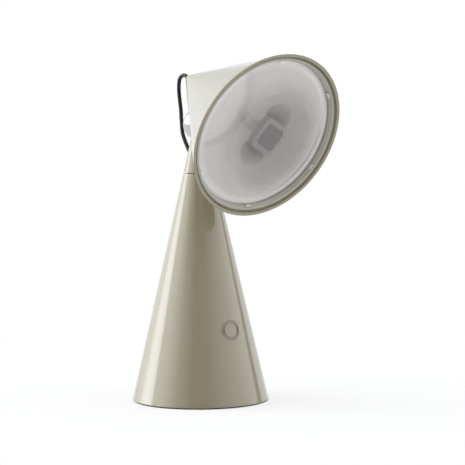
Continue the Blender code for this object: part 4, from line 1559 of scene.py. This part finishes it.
        colour = add_node(
            tree,
            "ShaderNodeMix",
            {"Factor": seen.outputs["Is Camera Ray"], 6: room.outputs[2], 7: (1.0, 1.0, 1.0, 1.0)},
            data_type="RGBA",
        )
        shader = add_node(tree, "ShaderNodeBackground", {"Color": colour.outputs[2], "Strength": 1.0})
        add_node(tree, "ShaderNodeOutputWorld", {"Surface": shader.outputs["Background"]})

    def make_floor(self) -> None:
        """Lay a pale floor that keeps the lamp's shadow and turns to plain white away from it."""
        shape = bmesh.new()
        bmesh.ops.create_grid(shape, x_segments=1, y_segments=1, size=30.0 / MM)
        floor = as_object(shape, "pale_floor", Matrix.Identity(4))
        made = bpy.data.materials.new("painted_studio_floor")
        made.use_nodes = True
        tree = made.node_tree
        tree.nodes.clear()
        where = add_node(tree, "ShaderNodeTexCoord").outputs["Object"]
        reach = add_node(tree, "ShaderNodeVectorMath", {0: where}, operation="LENGTH")
        far = add_node(
            tree,
            "ShaderNodeMapRange",
            {"Value": reach.outputs["Value"], "From Min": 0.16, "From Max": 0.42, "To Min": 0.0, "To Max": 1.0},
            interpolation_type="SMOOTHSTEP",
        )
        glow = add_node(
            tree, "ShaderNodeMapRange", {"Value": far.outputs["Result"], "To Min": self.shadow_fill, "To Max": 1.0}
        )
        under = add_node(
            tree,
            "ShaderNodeMapRange",
            {"Value": reach.outputs["Value"], "From Min": self.contact[0], "From Max": self.contact[1]},
        )
        glow = add_node(
            tree, "ShaderNodeMath", {0: glow.outputs["Result"], 1: under.outputs["Result"]}, operation="MULTIPLY"
        )
        lit = add_node(tree, "ShaderNodeBsdfDiffuse", {"Color": (1.0, 1.0, 1.0, 1.0)})
        white = add_node(tree, "ShaderNodeEmission", {"Color": (1.0, 1.0, 1.0, 1.0), "Strength": 1.0})
        seen_floor = add_node(
            tree,
            "ShaderNodeMixShader",
            {0: glow.outputs["Value"], 1: lit.outputs["BSDF"], 2: white.outputs["Emission"]},
        )
        plain = add_node(tree, "ShaderNodeBsdfDiffuse", {"Color": (0.78, 0.78, 0.77, 1.0)})
        path = add_node(tree, "ShaderNodeLightPath")
        seen = path.outputs["Is Camera Ray"]
        for kind in ("Is Glossy Ray", "Is Transmission Ray"):
            seen = add_node(
                tree, "ShaderNodeMath", {0: seen, 1: path.outputs[kind]}, operation="MAXIMUM"
            ).outputs["Value"]
        mix = add_node(
            tree, "ShaderNodeMixShader", {0: seen, 1: plain.outputs["BSDF"], 2: seen_floor.outputs["Shader"]}
        )
        add_node(tree, "ShaderNodeOutputMaterial", {"Surface": mix.outputs["Shader"]})
        floor.data.materials.append(made)

    def make_card(self, name: str, outline: tuple[Point, ...], radiance: float) -> None:
        """Lay a card on the floor, out of the picture and seen in sharp reflections alone.

        Args:
            name: The card's name.
            outline: Its outline in metres.
            radiance: How bright it is, where 1 is white.
        """
        shape = bmesh.new()
        shape.faces.new([shape.verts.new((x / MM, y / MM, 2.0)) for x, y in outline])
        card = as_object(shape, name, Matrix.Identity(4))
        made = bpy.data.materials.new(f"{name}_paper")
        made.use_nodes = True
        tree = made.node_tree
        tree.nodes.clear()
        glow = add_node(tree, "ShaderNodeEmission", {"Color": (1.0, 1.0, 1.0, 1.0), "Strength": radiance})
        add_node(tree, "ShaderNodeOutputMaterial", {"Surface": glow.outputs["Emission"]})
        card.data.materials.append(made)
        card.visible_camera = False
        card.visible_diffuse = False
        card.visible_transmission = False
        card.visible_shadow = False


def main() -> None:
    """Build the lamp from the foot up, then the studio round it."""
    logging.basicConfig(level=logging.INFO, format="%(name)s: %(message)s")
    scene = bpy.context.scene
    scene.view_settings.view_transform = "Standard"
    dress_nodes()
    button = Button(Body.BUTTON)
    Base(Body.BASE).make(button.spot(), button.bezel_radius)
    ButtonRing(Body.BASE, button=button).make()
    button.make()
    Neck(Body.NECK).make()
    head = Head(Body.HEAD)
    head.make()
    Cable().make(head)
    Studio().make()


if __name__ == "__main__":
    main()
